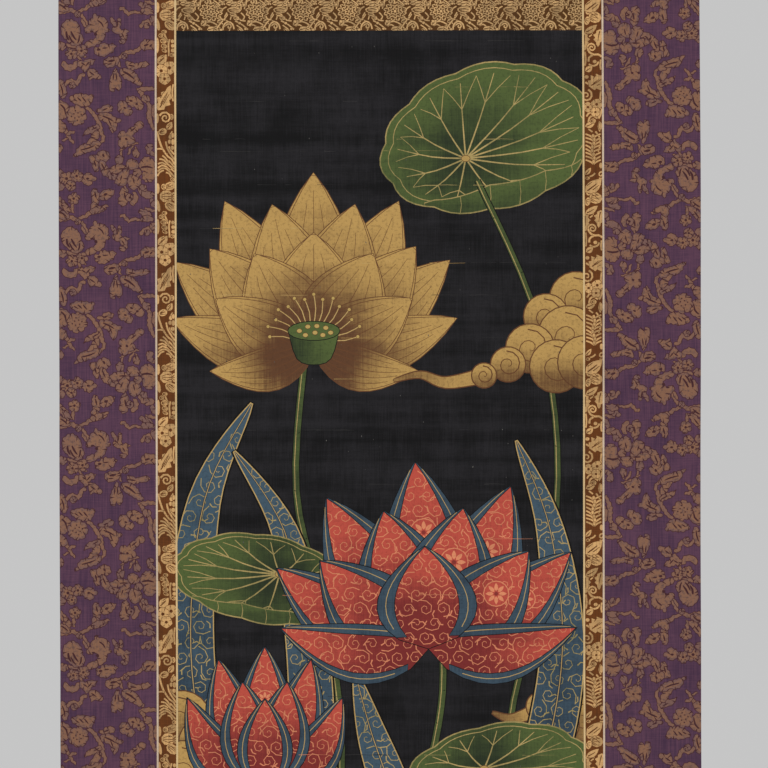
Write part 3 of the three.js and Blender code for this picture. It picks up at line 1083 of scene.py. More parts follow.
# Stems, twigs and stamens: the width first, then the points that each passes through
STEMS = [
    (3.0, 0,12.5, 6,11.5, 12,9.5, 17,12, 21,13.5), (2.6, 20,11, 27,8.5, 31,5, 36,3, 43,0, 49,-2),
    (2.2, 23,14, 25,18, 27.5,22, 29,28), (1.8, 23,19, 25,23, 28,27),
    (2.2, 61,9.5, 64,7.5, 66,9.5, 70,13.5, 74,11.5, 79,12, 83,13), (2.0, 86,1, 91,2, 98,4),
    (2.8, 81.5,27.5, 84,24, 87,21.5, 91,21, 92,25), (2.4, 8,44, 13,46, 18,46.5, 27,57),
    (2.0, 9,49, 17,50, 20,57, 23,60), (2.6, 84,47, 79,49.5, 75,51.5, 70,52, 65,54, 60,59, 61.5,67),
    (4.4, 5,61.5, 6.5,65.5, 12,67.5, 16.5,65.5, 18,61),
    (3.0, 27,74.5, 22.5,75, 21,79, 18.5,83, 15,81, 11,80.5, 8,83, 6.5,87),
    (3.0, 78.5,89.5, 86,88.5, 97,88.5), (2.6, 80.5,90, 84,95, 86,101),
    (3.0, 27,106, 33,111, 36.5,116, 39.5,120, 41.5,126, 42.5,132, 45,138, 41,144),
    (2.3, 1,121, 5,126.5, 9,133, 12,139, 15.5,142.5), (2.2, 9,134.5, 12,132, 16,131.5),
    (2.0, 4,140.5, 9,137.5), (1.7, 61,150.5, 66,146.5, 72,144, 79.5,142.5),
    (1.7, 70,154, 71.5,149, 75,145.5), (1.7, 80.5,155, 77.5,152, 77,146), (2.0, 62,156, 63,150),
    (3.4, 89,101, 91,108, 90.5,115, 92,122, 95,130), (2.4, 96,104, 94.5,112, 96,119),
    (3.6, 71.5,203.5, 75,201.5, 77,196.5, 75,191.5), (2.2, 14,203, 13.5,207, 14,212),
    (2.4, 97,88, 103,92, 107,101, 105,109), (2.4, 108,118, 103,126, 104,134, 109,140, 117,139),
    (2.4, 97,155, 104,157, 110,161, 112,172, 108,181), (2.2, 98,4, 104,9, 108,19, 105,25),
    (2.2, 117,60, 122,54, 121,46, 115,42),
]

# Gaps in the threads, darkened below the ground's colour as painted shade: the width first
SLITS = [
    (1.2, 1,4, 5,6.5, 8,9.5), (1.7, 8,31, 8.5,36, 11,40), (1.5, 12.5,31, 15,36, 18,40),
    (1.3, 10.5,35, 13,40, 16,43), (1.2, 21,35, 20.5,40, 19,43), (2.4, 36,33, 38.5,35),
    (1.4, 31.5,31, 35,31), (1.1, 39,20, 43,23, 45,27), (1.0, 59.5,21, 58.5,27), (1.0, 63,33, 65.5,37),
    (1.9, 38.5,49.5, 42,49), (1.0, 44,48, 49,47.5), (1.6, 85.5,45.5, 90,44), (1.2, 91,46.5, 93.5,44),
    (1.1, 23,62.5, 27,65), (1.0, 31,61.5, 27,66), (1.1, 31,71.5, 36,75), (1.9, 50,61, 56.5,60),
    (1.0, 49,64, 54,63.5), (1.2, 70,65, 76,66), (1.5, 65,71.5, 70,74, 76,79), (1.1, 55.5,73, 54.5,80),
    (1.1, 57.5,73, 58.5,80), (1.1, 2,84, 4,90, 4.5,95), (1.1, 19,97, 23,101), (1.1, 24,97, 28,102),
    (1.0, 15,98.5, 19,101), (1.6, 71,100, 74,101), (1.8, 77,103.5, 79.5,104), (1.4, 65,107, 67.5,108),
    (1.3, 2,104, 6,108, 7,114), (1.1, 44,110, 49,108), (1.2, 44,115.5, 50,118, 55,121),
    (1.0, 50,119, 53,126), (1.0, 38.5,126.5, 33,129.5), (1.1, 22,149.5, 30,147.5, 36,145),
    (1.9, 60.5,138.5, 62.5,138.5), (1.7, 66.5,138, 69,139), (1.1, 72,131, 77,127), (1.3, 35.5,160, 37,166),
    (1.7, 44,153.5, 45.5,156.5), (1.2, 43,163, 46,170), (1.1, 51.5,173, 55,175.5),
    (1.5, 82,167, 88,166, 94,167.5), (1.1, 60,168.5, 67,168), (1.0, 74,177, 75.5,183),
    (1.0, 63,175, 61.5,180), (1.7, 27.5,178, 30.5,178), (1.1, 2,200.5, 7,207), (1.3, 36,191.5, 37.5,197.5),
    (2.0, 45,194.5, 48.5,193), (1.3, 65.5,192, 66.5,199), (1.8, 70.5,196, 71.5,198), (1.2, 104,62, 111,60),
    (1.1, 107,74, 111,80), (1.1, 104,114, 112,111), (1.1, 110,123, 114,131), (1.1, 104,143, 112,145),
    (1.1, 107,186, 116,183), (1.1, 105,28, 113,28),
]


def frayed(outline, chance):
    """A closed smooth edge through a few points, knobbly as its threads leave it."""
    corners = [outline[-1], *outline, outline[0], outline[1]]
    smooth = []
    for p0, p1, p2, p3 in zip(corners, corners[1:], corners[2:], corners[3:]):
        count = max(1, round(math.dist(p1, p2) / FRAY_STEP))
        smooth += curve([p0, p1, p2, p3], count)[count:2 * count]
    rough = []
    for number, (here, moved) in enumerate(zip(smooth, grown(smooth, 1))):
        off = chance.uniform(0, FRAY) * (1 if number % 2 else FRAY_BACK)
        rough.append((here[0] + off * (moved[0] - here[0]), here[1] + off * (moved[1] - here[1])))
    return rough


def draw_form(pen, outline):
    """A woven form: its dark edging of painted shade, a warmer middle where it is wide enough, and notches
    from its edge, painted dark as shade.
    """
    chance = pen.drawing.chance
    edge = frayed(grown(outline, FORM_SWELL), chance)
    rim = pen.fill(edge, RIM_TONE + chance.uniform(0, TONE_SPREAD))
    around_it = sum(math.dist(a, b) for a, b in zip(edge, edge[1:] + edge[:1]))
    mean_width = 2 * abs(signed_area(edge)) / around_it
    if mean_width > RIM_LEAST:
        middle = pen.put(grown(edge, -RIM)[::2])
        pen.drawing.add(middle, pen.thread, rim, CORE_TONE - chance.uniform(0, TONE_SPREAD / 3))
    inner = grown(edge, -1)
    count = round(around_it / NOTCH_EVERY)
    for i in range(count):
        at = int((i + chance.uniform(0.1, 0.9)) * len(edge) / count) % len(edge)
        deep = min(chance.uniform(NOTCH_LEAST, NOTCH_MOST), mean_width * NOTCH_SHARE)
        x, y = edge[at]
        dx, dy = inner[at][0] - x, inner[at][1] - y
        lean = chance.uniform(-NOTCH_LEAN, NOTCH_LEAN)
        tip = (x + deep * (dx - lean * dy), y + deep * (dy + lean * dx))
        wide_x, wide_y = NOTCH_WIDE * dy, NOTCH_WIDE * dx
        pen.slit([(x - wide_x, y + wide_y), tip, (x + wide_x, y - wide_y)])


def draw_blossom_form(pen, radius, petals):
    """A round blossom with gaps between its petals and a dark eye."""
    dotted = petals > 6
    draw_form(pen, lobed_outline(radius, petals, 0.14 if dotted else 0.26, 2))
    for i in range(petals):
        turn = 360 * (i + 0.5) / petals
        if dotted:
            out = radius * (0.3 + 0.2 * (i % 2))
            pen.slit(turned([(x + out, y) for x, y in round_outline(0.85, 5)], turn))
        else:
            pen.slit(turned([(radius * 0.45, -0.55), (radius * 0.85, 0), (radius * 0.45, 0.55)], turn))
    if not dotted:
        pen.slit(round_outline(radius * 0.24, 6))


def draw_purple_repeat(pen, across, down):
    """One repeat of the purple cloth's pattern."""
    pen.at(across, down)
    for width, *way in STEMS:
        stem = ribbon(curve(paired(way), 1), *(width * part for part in STEM_TAPER))
        pen.fill(frayed(stem, pen.drawing.chance), STEM_TONE)
    for edge in FORMS:
        draw_form(pen, paired(edge))
    for bloom in map(Bloom._make, BLOSSOMS):
        pen.at(across + bloom.across, down + bloom.down, bloom.turn)
        draw_blossom_form(pen, bloom.radius, bloom.petals)
    pen.at(across, down)
    for width, *way in SLITS:
        pen.slit(ribbon(curve(paired(way), 2), *(width * part for part in SLIT_TAPER)))


# The right side strip is cut from the same cloth half a turn round
RIGHT_STRIP_TURN_DOWN = 419


SIDE_SEED, PANEL_SEED = 5, 6
SIDE_ROWS, PANEL_ROWS = range(-5, 8), range(-4, 9)


# The purple cloth's motifs are edged, slit and notched in dark purple as painted shade
def purple_pen(seed):
    return Pen(Drawing(seed), "copper_thread", "purple_edge", size("edging"))


def side_pattern(side):
    """The pattern of a purple side strip."""
    pen = purple_pen(SIDE_SEED)
    start = VIEW_TOP if side == "left" else VIEW_TOP + RIGHT_STRIP_TURN_DOWN
    for row in SIDE_ROWS:
        down = start + row * PURPLE_REPEAT
        if side == "left":
            draw_purple_repeat(pen, -WIDTH / 2, down)
        else:
            draw_purple_repeat(TurnedPen(pen, WIDTH / 2, down), 0, 0)
    return pen.drawing.shapes


def panel_pattern(top, bottom):
    """The pattern of a full-width purple panel. Each second column lies half a repeat lower."""
    pen = purple_pen(PANEL_SEED)
    for column in range(math.ceil(WIDTH / PURPLE_ACROSS)):
        drop = PURPLE_REPEAT / 2 * (column % 2)
        for row in PANEL_ROWS:
            down = VIEW_TOP + row * PURPLE_REPEAT + drop
            if top - PURPLE_REPEAT < down < bottom:
                draw_purple_repeat(pen, column * PURPLE_ACROSS - WIDTH / 2, down)
    return pen.drawing.shapes


# The brown cloth of the inner borders: two charts, in millimetres from a strip's left edge and down.
# Strokes and slits give their width first. The other rows have the columns named here. A leaf leans by
# 0.05 and isn't ragged, and a round isn't turned, unless its row says so.

BROWN_REPEAT = 181
Leaf = namedtuple("Leaf", "across down length width turn lean ragged", defaults=(0.05, False))
Round = namedtuple("Round", "across down wide high turn", defaults=(0,))
Spiral = namedtuple("Spiral", "across down radius turns start width flip")
Chart = namedtuple("Chart", "strokes leaves rounds blooms spirals slits")

LEFT_CHART = Chart(
    strokes=[
        (1.8, 7.5,33, 9,37, 10.8,41), (1.6, 4.5,37, 8,38.5, 11,42),
        (1.7, 13,39, 11.8,44, 12.2,50, 12.5,56), (1.4, 10,129, 12.5,127.5, 15.5,127),
        (1.3, 12,138, 13.5,134, 15.5,131), (1.9, 0.6,131, 1.6,137, 3.2,142, 5,147, 8.5,152.5, 10.5,154),
        (1.5, 0,148.6, 3,148.2, 6,148.8), (1.7, 9,141, 10.5,148, 14,154, 17.5,159),
        (1.6, 12,146, 14,150, 17.5,154), (1.7, 8,152, 11,156, 15,159, 17.5,164),
        (1.6, 5.5,155, 9,158, 12,163), (1.7, 2.5,158.5, 7,159.5, 11,164, 17,168.5),
        (1.6, 1,163.5, 5.5,162, 9.5,165), (1.7, 1,167.5, 5,164.8, 9.5,166.5, 13,170),
        (1.7, 0.8,171, 4.5,168, 9,168, 13,171.5, 17,176), (1.6, 0.5,175.5, 3,171.5, 7,169.8),
        (1.5, 9,172, 12,173, 14,176.5), (1.6, 11.5,160, 14.5,163, 17.5,167), (1.5, 14,168, 17.5,171.5),
        (1.6, 16.5,84, 15.6,92, 16.4,101),
    ],
    leaves=[
        (0.8, 63, 13, 9, -42), (1.2, 110, 28, 14, -63, 0.04, True), (10, 129, 9, 6, -55),
    ],
    rounds=[
        (9.3, 14.8, 13.5, 12.5), (13, 4.5, 12, 8.5, -20), (6.8, 5.2, 5.4, 6), (16.6, 15, 4.6, 9),
        (13.6, 24.8, 13, 9.5, 35), (0.8, 7, 3.8, 11), (1.0, 24, 4, 13, -12), (0.8, 45, 3.4, 16),
        (7.5, 31.5, 5.5, 4), (4.2, 35.2, 5, 4.4), (6.5, 41, 6.5, 4.6, 20), (7.5, 46, 6.5, 5, 15),
        (7.8, 50.4, 6, 3.6, 25), (15.8, 41, 3.4, 4), (16, 45.6, 3.6, 3.8), (16.2, 50.2, 4, 4),
        (15.4, 54.8, 5, 4.2), (14.8, 116.5, 4.6, 6), (0.6, 118, 3, 10), (5.8, 131.2, 9, 7, -20),
        (13.5, 136.5, 3.6, 4.5), (16, 135, 3, 5), (12.7, 141.2, 3.4, 4.4), (16, 141.5, 3.6, 6),
        (15.4, 147.4, 4, 4.4), (15.6, 179, 4.4, 4.4),
    ],
    blooms=[(12.8, 67.6, 7, 10, 5), (4.6, 70.6, 6.8, 40, 5), (8, 78.6, 6.2, 15, 5)],
    spirals=[(8.5, 117.5, 6.2, 1.6, 200, 2.0, 1)],
    slits=[
        (1.0, 9.5,11.5, 12,12.5, 14.5,11), (1.0, 10,18, 13,17, 16,18.5), (0.9, 11,15, 14,15, 17,13),
        (0.9, 12,21.5, 15,24, 17,26), (0.8, 10,3, 14,5.5), (0.8, 3.5,60, 7.5,57), (0.8, 4.5,57, 8.5,54.5),
        (0.9, 4,104, 7,98, 11,92), (0.8, 6.5,104.5, 9.5,99, 12.5,94), (0.8, 3.5,98, 6,93.5, 9,90),
        (0.8, 6.5,101, 4.2,101.5), (0.8, 11,125.5, 13.5,123), (0.8, 3,131.5, 7.5,130),
    ],
)

RIGHT_CHART = Chart(
    strokes=[
        (1.6, 1,9, 3,14, 6,13.5, 9.5,11.5), (1.5, 2,36, 5,33, 9,33.5), (1.3, 5,37, 8,35),
        (2.0, 3.2,46.5, 4,50.5, 6.5,53.5, 10,55, 14,54.8, 17.5,57), (2.0, 8.5,55.5, 4.8,58, 4.4,62),
        (1.8, 4.8,64.5, 8,66.4, 12.5,65.2, 14.5,62), (1.8, 1.2,82.5, 3.5,84.2, 6,83.5),
        (1.7, 2,117, 4.4,113.6, 8,113.4), (1.8, 4,123, 5.2,118, 9,116.4, 13,119),
        (1.6, 15.5,122, 14,127, 15.5,132), (1.5, 4,129.5, 8,132.5),
        (1.7, 11,132, 14.5,137, 16,145, 13.4,152), (1.6, 5,177, 8,176, 10.5,173.6),
        (1.6, 0.8,52, 1.6,60, 0.8,66), (1.6, 16.5,92, 15.8,99, 16.6,104), (1.6, 16.6,60, 16,66, 16.8,70),
    ],
    leaves=[
        (0.5, 11.5, 21, 12, -38, 0.04), (0.5, 33, 15, 6.5, -32, 0.06),
        (16.4, 29.5, 18, 10, 98, 0.05, True), (0.2, 33, 18, 10, 88, 0.0, True), (1.2, 71.5, 8.5, 6, -35),
        (4.6, 87, 21, 17, -34, 0.05, True), (0.8, 127, 11, 6, -25), (0.6, 175, 9, 4.4, -50),
        (16.6, 108, 12, 5, 100),
    ],
    rounds=[
        (11, 17.6, 13, 11.5, 10), (3.2, 21, 5.5, 9, 15), (2.4, 77.4, 4.2, 3.6), (8.6, 121.4, 6, 5),
        (16, 126.5, 3.4, 8), (3, 178.6, 4.4, 3.4), (16.4, 166, 3.4, 6), (10.5, 62, 4, 3.6),
    ],
    blooms=[(3.6, 107.6, 5.4, 0, 4), (12.2, 104.8, 5.8, 20, 4), (11, 112.6, 5, 45, 4)],
    spirals=[(7.6, 48, 4.6, 1.5, 190, 1.8, 1), (1.8, 96, 6.4, 1.5, 290, 2.0, 1),
             (16.6, 175, 4.4, 1.4, 120, 1.6, -1)],
    slits=[
        (0.9, 2.5,5, 8,1), (0.9, 4,9, 12,3), (0.9, 8,9.5, 14.5,4.5), (0.9, 7,14, 11,16, 14,19),
        (0.9, 10,13, 14,15), (0.9, 6.5,19.6, 10,21.6), (0.9, 9,84, 14.5,80), (0.8, 9,79, 12,75.5),
        (0.8, 12.5,86, 16,84.5),
    ],
)
FERN_TOP, FERN_BOTTOM, FERN_STEP = 135, 168, 3.7


PLAIN_ROUND = 4.2
FOLD_WAYS = (-0.3, 0.02, 0.32)


def draw_folds(pen, lobe):
    """Fine gaps that fan out along a broad petal from its foot."""
    foot = -0.36 * lobe.wide
    for way in FOLD_WAYS:
        reach = 0.3 - 0.3 * abs(way)
        high = way * lobe.high
        line = [(foot, high * 0.3), (0, high * 0.8), (reach * lobe.wide, high)]
        pen.slit(ribbon(curve(line, 1), 0.7, 0.4))


def draw_chart(pen, chart, across, down):
    """One repeat of a brown border, or of a gold strip."""
    pen.at(across, down)
    for width, *way in chart.strokes:
        pen.fill(ribbon(curve(paired(way), 2), width))
    for leaf in (Leaf(*row) for row in chart.leaves):
        pen.at(across + leaf.across, down + leaf.down, leaf.turn)
        draw_leaf(pen, leaf.length, leaf.width, leaf.lean, leaf.ragged)
    for lobe in (Round(*row) for row in chart.rounds):
        pen.at(across + lobe.across, down + lobe.down, lobe.turn)
        pen.fill(round_outline(lobe.wide / 2, 9, lobe.high / lobe.wide))
        if lobe.wide > PLAIN_ROUND:
            draw_folds(pen, lobe)
    for bloom in map(Bloom._make, chart.blooms):
        pen.at(across + bloom.across, down + bloom.down, bloom.turn)
        draw_blossom(pen, bloom.radius, bloom.petals)
    for spiral in map(Spiral._make, chart.spirals):
        pen.at(across + spiral.across, down + spiral.down, spiral.start, 1, spiral.flip)
        pen.fill(ribbon(spiral_line(spiral.radius, spiral.turns), spiral.width, 1.2))
    pen.at(across, down)
    for width, *way in chart.slits:
        pen.slit(ribbon(curve(paired(way), 2), width, SLIT_END))


def draw_fern(pen, across, down):
    """A braided frond of short curved strokes that fill the border's width."""
    middle = INNER_SIDE / 2
    rows = int((FERN_BOTTOM - FERN_TOP) / FERN_STEP)
    pen.at(across, down)
    for row in range(rows):
        y = FERN_TOP + row * FERN_STEP
        sway = 1.2 * math.sin(row * 1.3)
        for side in (-1, 1):
            line = [(middle + sway, y + 3.4), (middle + sway + side * 3.2, y + 1.2),
                    (middle + side * 7.6, y - 0.6)]
            pen.fill(ribbon(curve(line, 2), 2.0, 1.4), edge=0.4)
        pen.fill(disc(middle + sway, y + 1.2, 1.5, 6, 1.3), edge=0.4)


BROWN_SEED, STRIP_SEED, PICTURE_SEED = 9, 3, 11
BROWN_EDGE, STRIP_EDGE = 0.45, 0.4


def brown_pattern(place, rect):
    """The pattern of one brown border. The ones across the scroll use a chart turned by a quarter."""
    pen = Pen(Drawing(BROWN_SEED), "gold_thread", "brown_ground", BROWN_EDGE)
    upright = place in ("left", "right")
    chart = RIGHT_CHART if place == "right" else LEFT_CHART
    start = VIEW_TOP - 3 * BROWN_REPEAT if upright else 0
    reach = rect.bottom if upright else rect.right - rect.left
    if not upright:
        pen = TurnedPen(pen, rect.left, rect.bottom, -90)
    left = rect.left if upright else 0
    while start < reach:
        draw_chart(pen, chart, left, start)
        if place == "right":
            draw_fern(pen, left, start)
        start += BROWN_REPEAT
    return pen.drawing.shapes


# The gold brocade of the strips: one chart, across from a spiral's middle and up from the strip's foot

STRIP_REPEAT = 46
STRIP_ROW = 25
STRIP_START = 6.8
STRIP_CHART = Chart(
    strokes=[
        (1.5, -6,30, -5.4,25, -1,21.4, 3.6,24, 5,29), (1.4, -12,28, -8,22.4, -3.6,17.4, -1.4,14),
        (1.3, 6,20.6, 13,24.4, 19,29.4), (1.2, 7.6,25, 12.6,28.6, 14,31),
        (1.4, 21,22.6, 27,21.4, 33,24, 37,28), (1.3, 12,9.6, 12.4,5, 16,2), (1.3, 15.4,9, 15.8,6),
        (1.3, -4.4,16.6, -2,12.4), (1.2, 1.2,19.6, 2.6,15), (1.3, 12,12.6, 15.6,16.6, 13.4,20),
        (1.2, 38,30, 42,25.4, 44,20), (1.3, -7.6,12, -6,8.6, -2.6,6.6), (1.3, -9,16, -7.4,19, -3.6,19.6),
        (1.3, 20.4,26, 24,24.6, 27,26.4), (1.2, 9.4,16.4, 11.4,20, 16.6,20.8),
        (1.2, 29,31, 31.4,26.8, 35.6,25.6), (1.2, 0,31, 1.4,27.8), (1.2, 39.6,24, 38.6,21.4, 40.4,18.6),
    ],
    leaves=[
        (18, 25, 7.4, 5.2, -42), (24, 29.4, 9, 5, -14), (34, 22.4, 8, 4.6, -32), (34.6, 3.4, 8, 4.4, -18),
        (-3, 3.6, 9, 4.6, -14), (30, 28, 6.4, 3.6, 20), (2, 6.6, 9.4, 4.2, 8, 0.06),
        (0.6, 14, 8, 3.6, 14, -0.06), (8.6, 28.8, 5.4, 3, 30),
    ],
    rounds=[
        (5, 10, 14, 6.4), (7.4, 18, 6, 4.4, 10), (10.6, 23, 3, 2.6), (20, 21.4, 3.4, 2.6, 20),
        (-8, 29.6, 3.4, 2.6), (16.4, 28.8, 2.6, 2.2), (3.6, 2.2, 3, 2.4),
    ],
    blooms=[],
    spirals=[(0, 26.4, 3.2, 1.2, 200, 1.4, 1), (14.6, 5, 2.6, 1.2, 30, 1.2, -1)],
    slits=[
        (0.7, -0.6,9.4, 4,8.8, 10,9.6), (0.7, 0.6,11.4, 5,12, 9.6,11.2), (0.6, -1.6,10.4, -0.2,10.8),
    ],
)
MUM_ACROSS, MUM_DOWN = 28, 11.4
MUM_SQUASH = 0.84
# Rings of a ruffled flower: how far out, how many petals, and how long each is
MUM_RINGS = [(10.6, 12, 4.6), (7.2, 9, 4.4), (3.9, 6, 3.6)]


def draw_mum(pen, across, down):
    """A round ruffled flower: rings of short curled petals."""
    pen.at(across, down)
    for radius, petals, length in MUM_RINGS:
        for i in range(petals):
            turn = 360 * i / petals + radius * 7
            line = [(radius - 2, -length / 2), (radius + 0.7, -0.7), (radius - 0.3, 1.3), (radius - 1.9, 0.9)]
            petal = turned(ribbon(line, 1.5, 1.1), turn)
            pen.fill([(x, y * MUM_SQUASH) for x, y in petal], edge=0)
    pen.fill(round_outline(1.5, 6), edge=0.35)


def strip_pattern(rect):
    """The pattern of a gold strip, in rows from its foot upwards, each moved on by half a repeat."""
    pen = Pen(Drawing(STRIP_SEED), "strip_gold", "strip_ground", STRIP_EDGE)
    picture_foot = 30.5
    for row in range(math.ceil((rect.bottom - rect.top) / STRIP_ROW) + 1):
        down = rect.bottom - picture_foot - row * STRIP_ROW
        for column in range(-1, math.ceil((rect.right - rect.left) / STRIP_REPEAT) + 1):
            across = rect.left + STRIP_START + (column + row % 2 / 2) * STRIP_REPEAT
            draw_chart(pen, STRIP_CHART, across, down)
            draw_mum(pen, across + MUM_ACROSS, down + MUM_DOWN)
    return pen.drawing.shapes


# The picture: a lotus pond, in millimetres across from its middle and below its top edge

VEINS = (-0.62, -0.32, 0, 0.32, 0.62)
PETAL_STEPS = 10
SHADED = 0.2
BAND = 0.66
SCROLL_PITCH = 17.5
BLADE_PITCH = 19

# A petal: the way it points (0 is right, -90 is up), its length, its width and its lean
LotusPetal = namedtuple("LotusPetal", "turn length width lean")
# The paints of a lotus. Its petals are listed from back to front.
LotusPaints = namedtuple("LotusPaints", "petal contour vein band")

GREAT_LOTUS = [
    (-90, 176, 84, 0.0), (-121, 172, 80, -0.05), (-60, 170, 80, 0.05), (-148, 164, 70, -0.07),
    (-33, 162, 70, 0.07), (-106, 150, 86, -0.02), (-74, 150, 86, 0.02), (-136, 144, 80, -0.06),
    (-45, 144, 80, 0.06), (-168, 146, 58, -0.08), (-12, 146, 58, 0.08), (-90, 116, 92, 0.0),
    (-122, 112, 84, -0.05), (-58, 112, 84, 0.05), (-153, 110, 66, -0.07), (-27, 110, 66, 0.07),
    (168, 106, 44, -0.1), (12, 106, 44, 0.1),
]
RED_LOTUS = [
    (-94, 150, 76, 0.02), (-124, 146, 72, -0.04), (-63, 146, 72, 0.05), (-152, 138, 62, -0.08),
    (-34, 138, 62, 0.08), (-108, 116, 78, -0.03), (-76, 116, 78, 0.03), (-141, 112, 70, -0.06),
    (-44, 112, 70, 0.06), (-172, 120, 48, -0.1), (-8, 120, 48, 0.1), (-92, 82, 80, 0.0),
]
HALF_OPEN = [
    (-90, 128, 58, 0.0), (-110, 124, 52, -0.06), (-70, 124, 52, 0.06), (-131, 108, 46, -0.14),
    (-49, 108, 46, 0.14), (-102, 98, 54, -0.05), (-78, 98, 54, 0.05), (-90, 80, 50, 0.0),
]
BUD = [
    (-90, 92, 44, 0.0), (-104, 84, 34, -0.1), (-76, 84, 34, 0.1), (-90, 66, 30, 0.0),
]


def belly(t):
    """Half the width of a petal along its length, from 0 at its foot to 0 at its drawn-out tip."""
    return math.sin(math.pi * t ** 0.8) ** 0.72 * (1 - 0.28 * t ** 5)


def on_petal(petal, t, k):
    """A point on a petal: t along it, and k from -1 to 1 across it."""
    bend = petal.lean * petal.length * math.sin(math.pi * t)
    return petal.length * t, bend + k * petal.width / 2 * belly(t)


def petal_line(petal, k, start, end, steps=PETAL_STEPS):
    return [on_petal(petal, start + (end - start) * i / steps, k) for i in range(steps + 1)]


def petal_shape(petal):
    return petal_line(petal, -1, 0, 1) + petal_line(petal, 1, 1, 0)[1:-1]


def sized(petals, by):
    """The same petals at another size."""
    return [(turn, length * by, width * by, lean) for turn, length, width, lean in petals]


class Brush:
    """Paints the picture: filled forms with contours, and fine lines and scrolls on them."""

    def __init__(self, drawing):
        self.drawing = drawing

    def form(self, outline, paint, tone=0.5, contour="ink_line", width=None, within=None):
        """A filled form in its contour. Gives its number, for what is painted on it."""
        if contour:
            width = size("contour") if width is None else width
            self.drawing.add(grown(outline, width), contour, within, 0.5)
        return self.drawing.add(outline, paint, within, tone)

    def line(self, points, paint, start=None, end=None, within=None, tone=0.6):
        start = size("fine_line") if start is None else start
        end = 0.6 * start if end is None else end
        return self.drawing.add(ribbon(points, start, end), paint, within, tone)


def paint_scrolls(brush, outline, within, paint, pitch):
    """Fine scrollwork over a form: small spirals that turn in pairs, with a comma between each pair."""
    left, top, right, bottom = box_of(outline)
    thick = size("fine_line") * 1.5
    row = 0
    y = top + pitch * 0.3
    while y < bottom:
        x = left + pitch * (0.25 if row % 2 else 0.75)
        while x < right:
            if holds(outline, (x, y)):
                flip = 1 if (row + round(x / pitch)) % 2 else -1
                start = brush.drawing.chance.uniform(0, 360)
                spiral = spiral_line(pitch * 0.44, 1.35, steps=7)
                spiral = [(spiral[0][0], -pitch * 0.4), *spiral]
                brush.line(turned(spiral, start, 1, x, y, flip), paint, within=within)
                comma = [(0, 0), (pitch * 0.12, pitch * 0.2), (pitch * 0.34, pitch * 0.24)]
                comma = turned(comma, start + 140, 1, x + pitch * 0.52, y + pitch * 0.1, flip)
                brush.line(comma, paint, thick, within=within)
            x += pitch
        y += pitch * 0.82
        row += 1


def paint_roundel(brush, middle, radius, within):
    """A round flower badge: a ring, eight petals and an eye."""
    add = brush.drawing.add
    add(disc(*middle, radius, 16), "orange_line", within, 0.6)
    add(disc(*middle, radius - 1.0, 16), "vermilion", within, 0.75)
    petal = turned(leaf_outline(radius * 0.62, radius * 0.3), 0, 1, radius * 0.2)
    for i in range(8):
        add(turned(petal, 45 * i, 1, *middle), "orange_line", within, 0.7)
    add(disc(*middle, radius * 0.16, 7), "vermilion", within, 0.2)


def paint_petal(brush, heart, petal, paints, scrolls=False, roundel=False):
    def place(points):
        return turned(points, petal.turn, 1, *heart)

    outline = place(petal_shape(petal))
    tip = place([(petal.length, 0)])[0]
    tone = Fade(place([(petal.length * SHADED, 0)])[0], tip, 0.0, 1.0)
    number = brush.form(outline, paints.petal, tone, paints.contour)
    if scrolls:
        paint_scrolls(brush, outline, number, "orange_line", SCROLL_PITCH)
    if roundel:
        paint_roundel(brush, place([on_petal(petal, 0.62, 0)])[0], petal.width * 0.15, number)
    if paints.band:
        for side in (1, -1):
            band = petal_line(petal, side * BAND, 0.12, 1) + petal_line(petal, side, 1, 0.12)
            brush.form(place(band), paints.band, 0.6, paints.contour, 0.7, number)
        for k in (-0.5 - BAND / 2, 0.5 + BAND / 2):
            brush.line(place(petal_line(petal, k, 0.2, 0.96)), "gold_line", 0.8, 0.6, number)
    else:
        for k in VEINS:
            reach = 0.9 - 0.25 * abs(k)
            brush.line(place(petal_line(petal, k, 0.1, reach)), paints.vein, 1.0, 0.4, number)
        inset = petal_line(petal, -0.9, 0.3, 0.985, 8) + petal_line(petal, 0.9, 0.985, 0.3, 8)
        brush.line(place(inset), paints.vein, 0.7, 0.7, number)


# A seed pod's side and its seeds, as parts of its width from its middle
POD_BODY = [(-0.42, -0.2), (-0.28, 0.26), (0, 0.36), (0.28, 0.26), (0.42, -0.2)]
SEEDS = paired((-0.24,0, -0.1,-0.07, 0.05,-0.08, 0.2,-0.05, 0.28,0.03, -0.14,0.07, 0.02,0.03, 0.15,0.07))


def paint_pod(brush, heart, wide):
    """A seed pod with its seeds, and a fringe of stamens."""
    x, y = heart
    for i in range(15):
        turn = -172 + 164 * i / 14
        reach = wide * (0.74 + 0.07 * (i % 2))
        stamen = turned(curve([(wide * 0.3, 0), (reach * 0.7, 2), (reach, 0)], 2), turn, 1, x, y)
        brush.line(stamen, "gold_line", 1.1, 0.8)
        brush.form(disc(*stamen[-1], 1.7, 6), "ochre", 0.8, "gold_contour", 0.5)
    body = curve([(wide * a, wide * b) for a, b in POD_BODY], 3)
    tone = Fade((x - wide * 0.4, y), (x + wide * 0.4, y), 0.25, 0.9)
    brush.form([(x + a, y + b) for a, b in body], "moss", tone)
    face = [(x + a, y - wide * 0.2 + b) for a, b in round_outline(wide * 0.43, 18, 0.36)]
    top = brush.form(face, "moss", 0.95)
    for a, b in SEEDS:
        seed = disc(x + a * wide, y + (b - 0.2) * wide, wide * 0.042, 8, 0.8)
        brush.form(seed, "ochre", 0.8, "gold_contour", 0.5, top)


def paint_lotus(brush, heart, petals, paints, scrolls=False, pod=0):
    for i, petal in enumerate(map(LotusPetal._make, petals)):
        paint_petal(brush, heart, petal, paints, scrolls, scrolls and petal.width > 60 and i % 2 == 0)
    if pod:
        paint_pod(brush, (heart[0], heart[1] - pod * 0.1), pod)


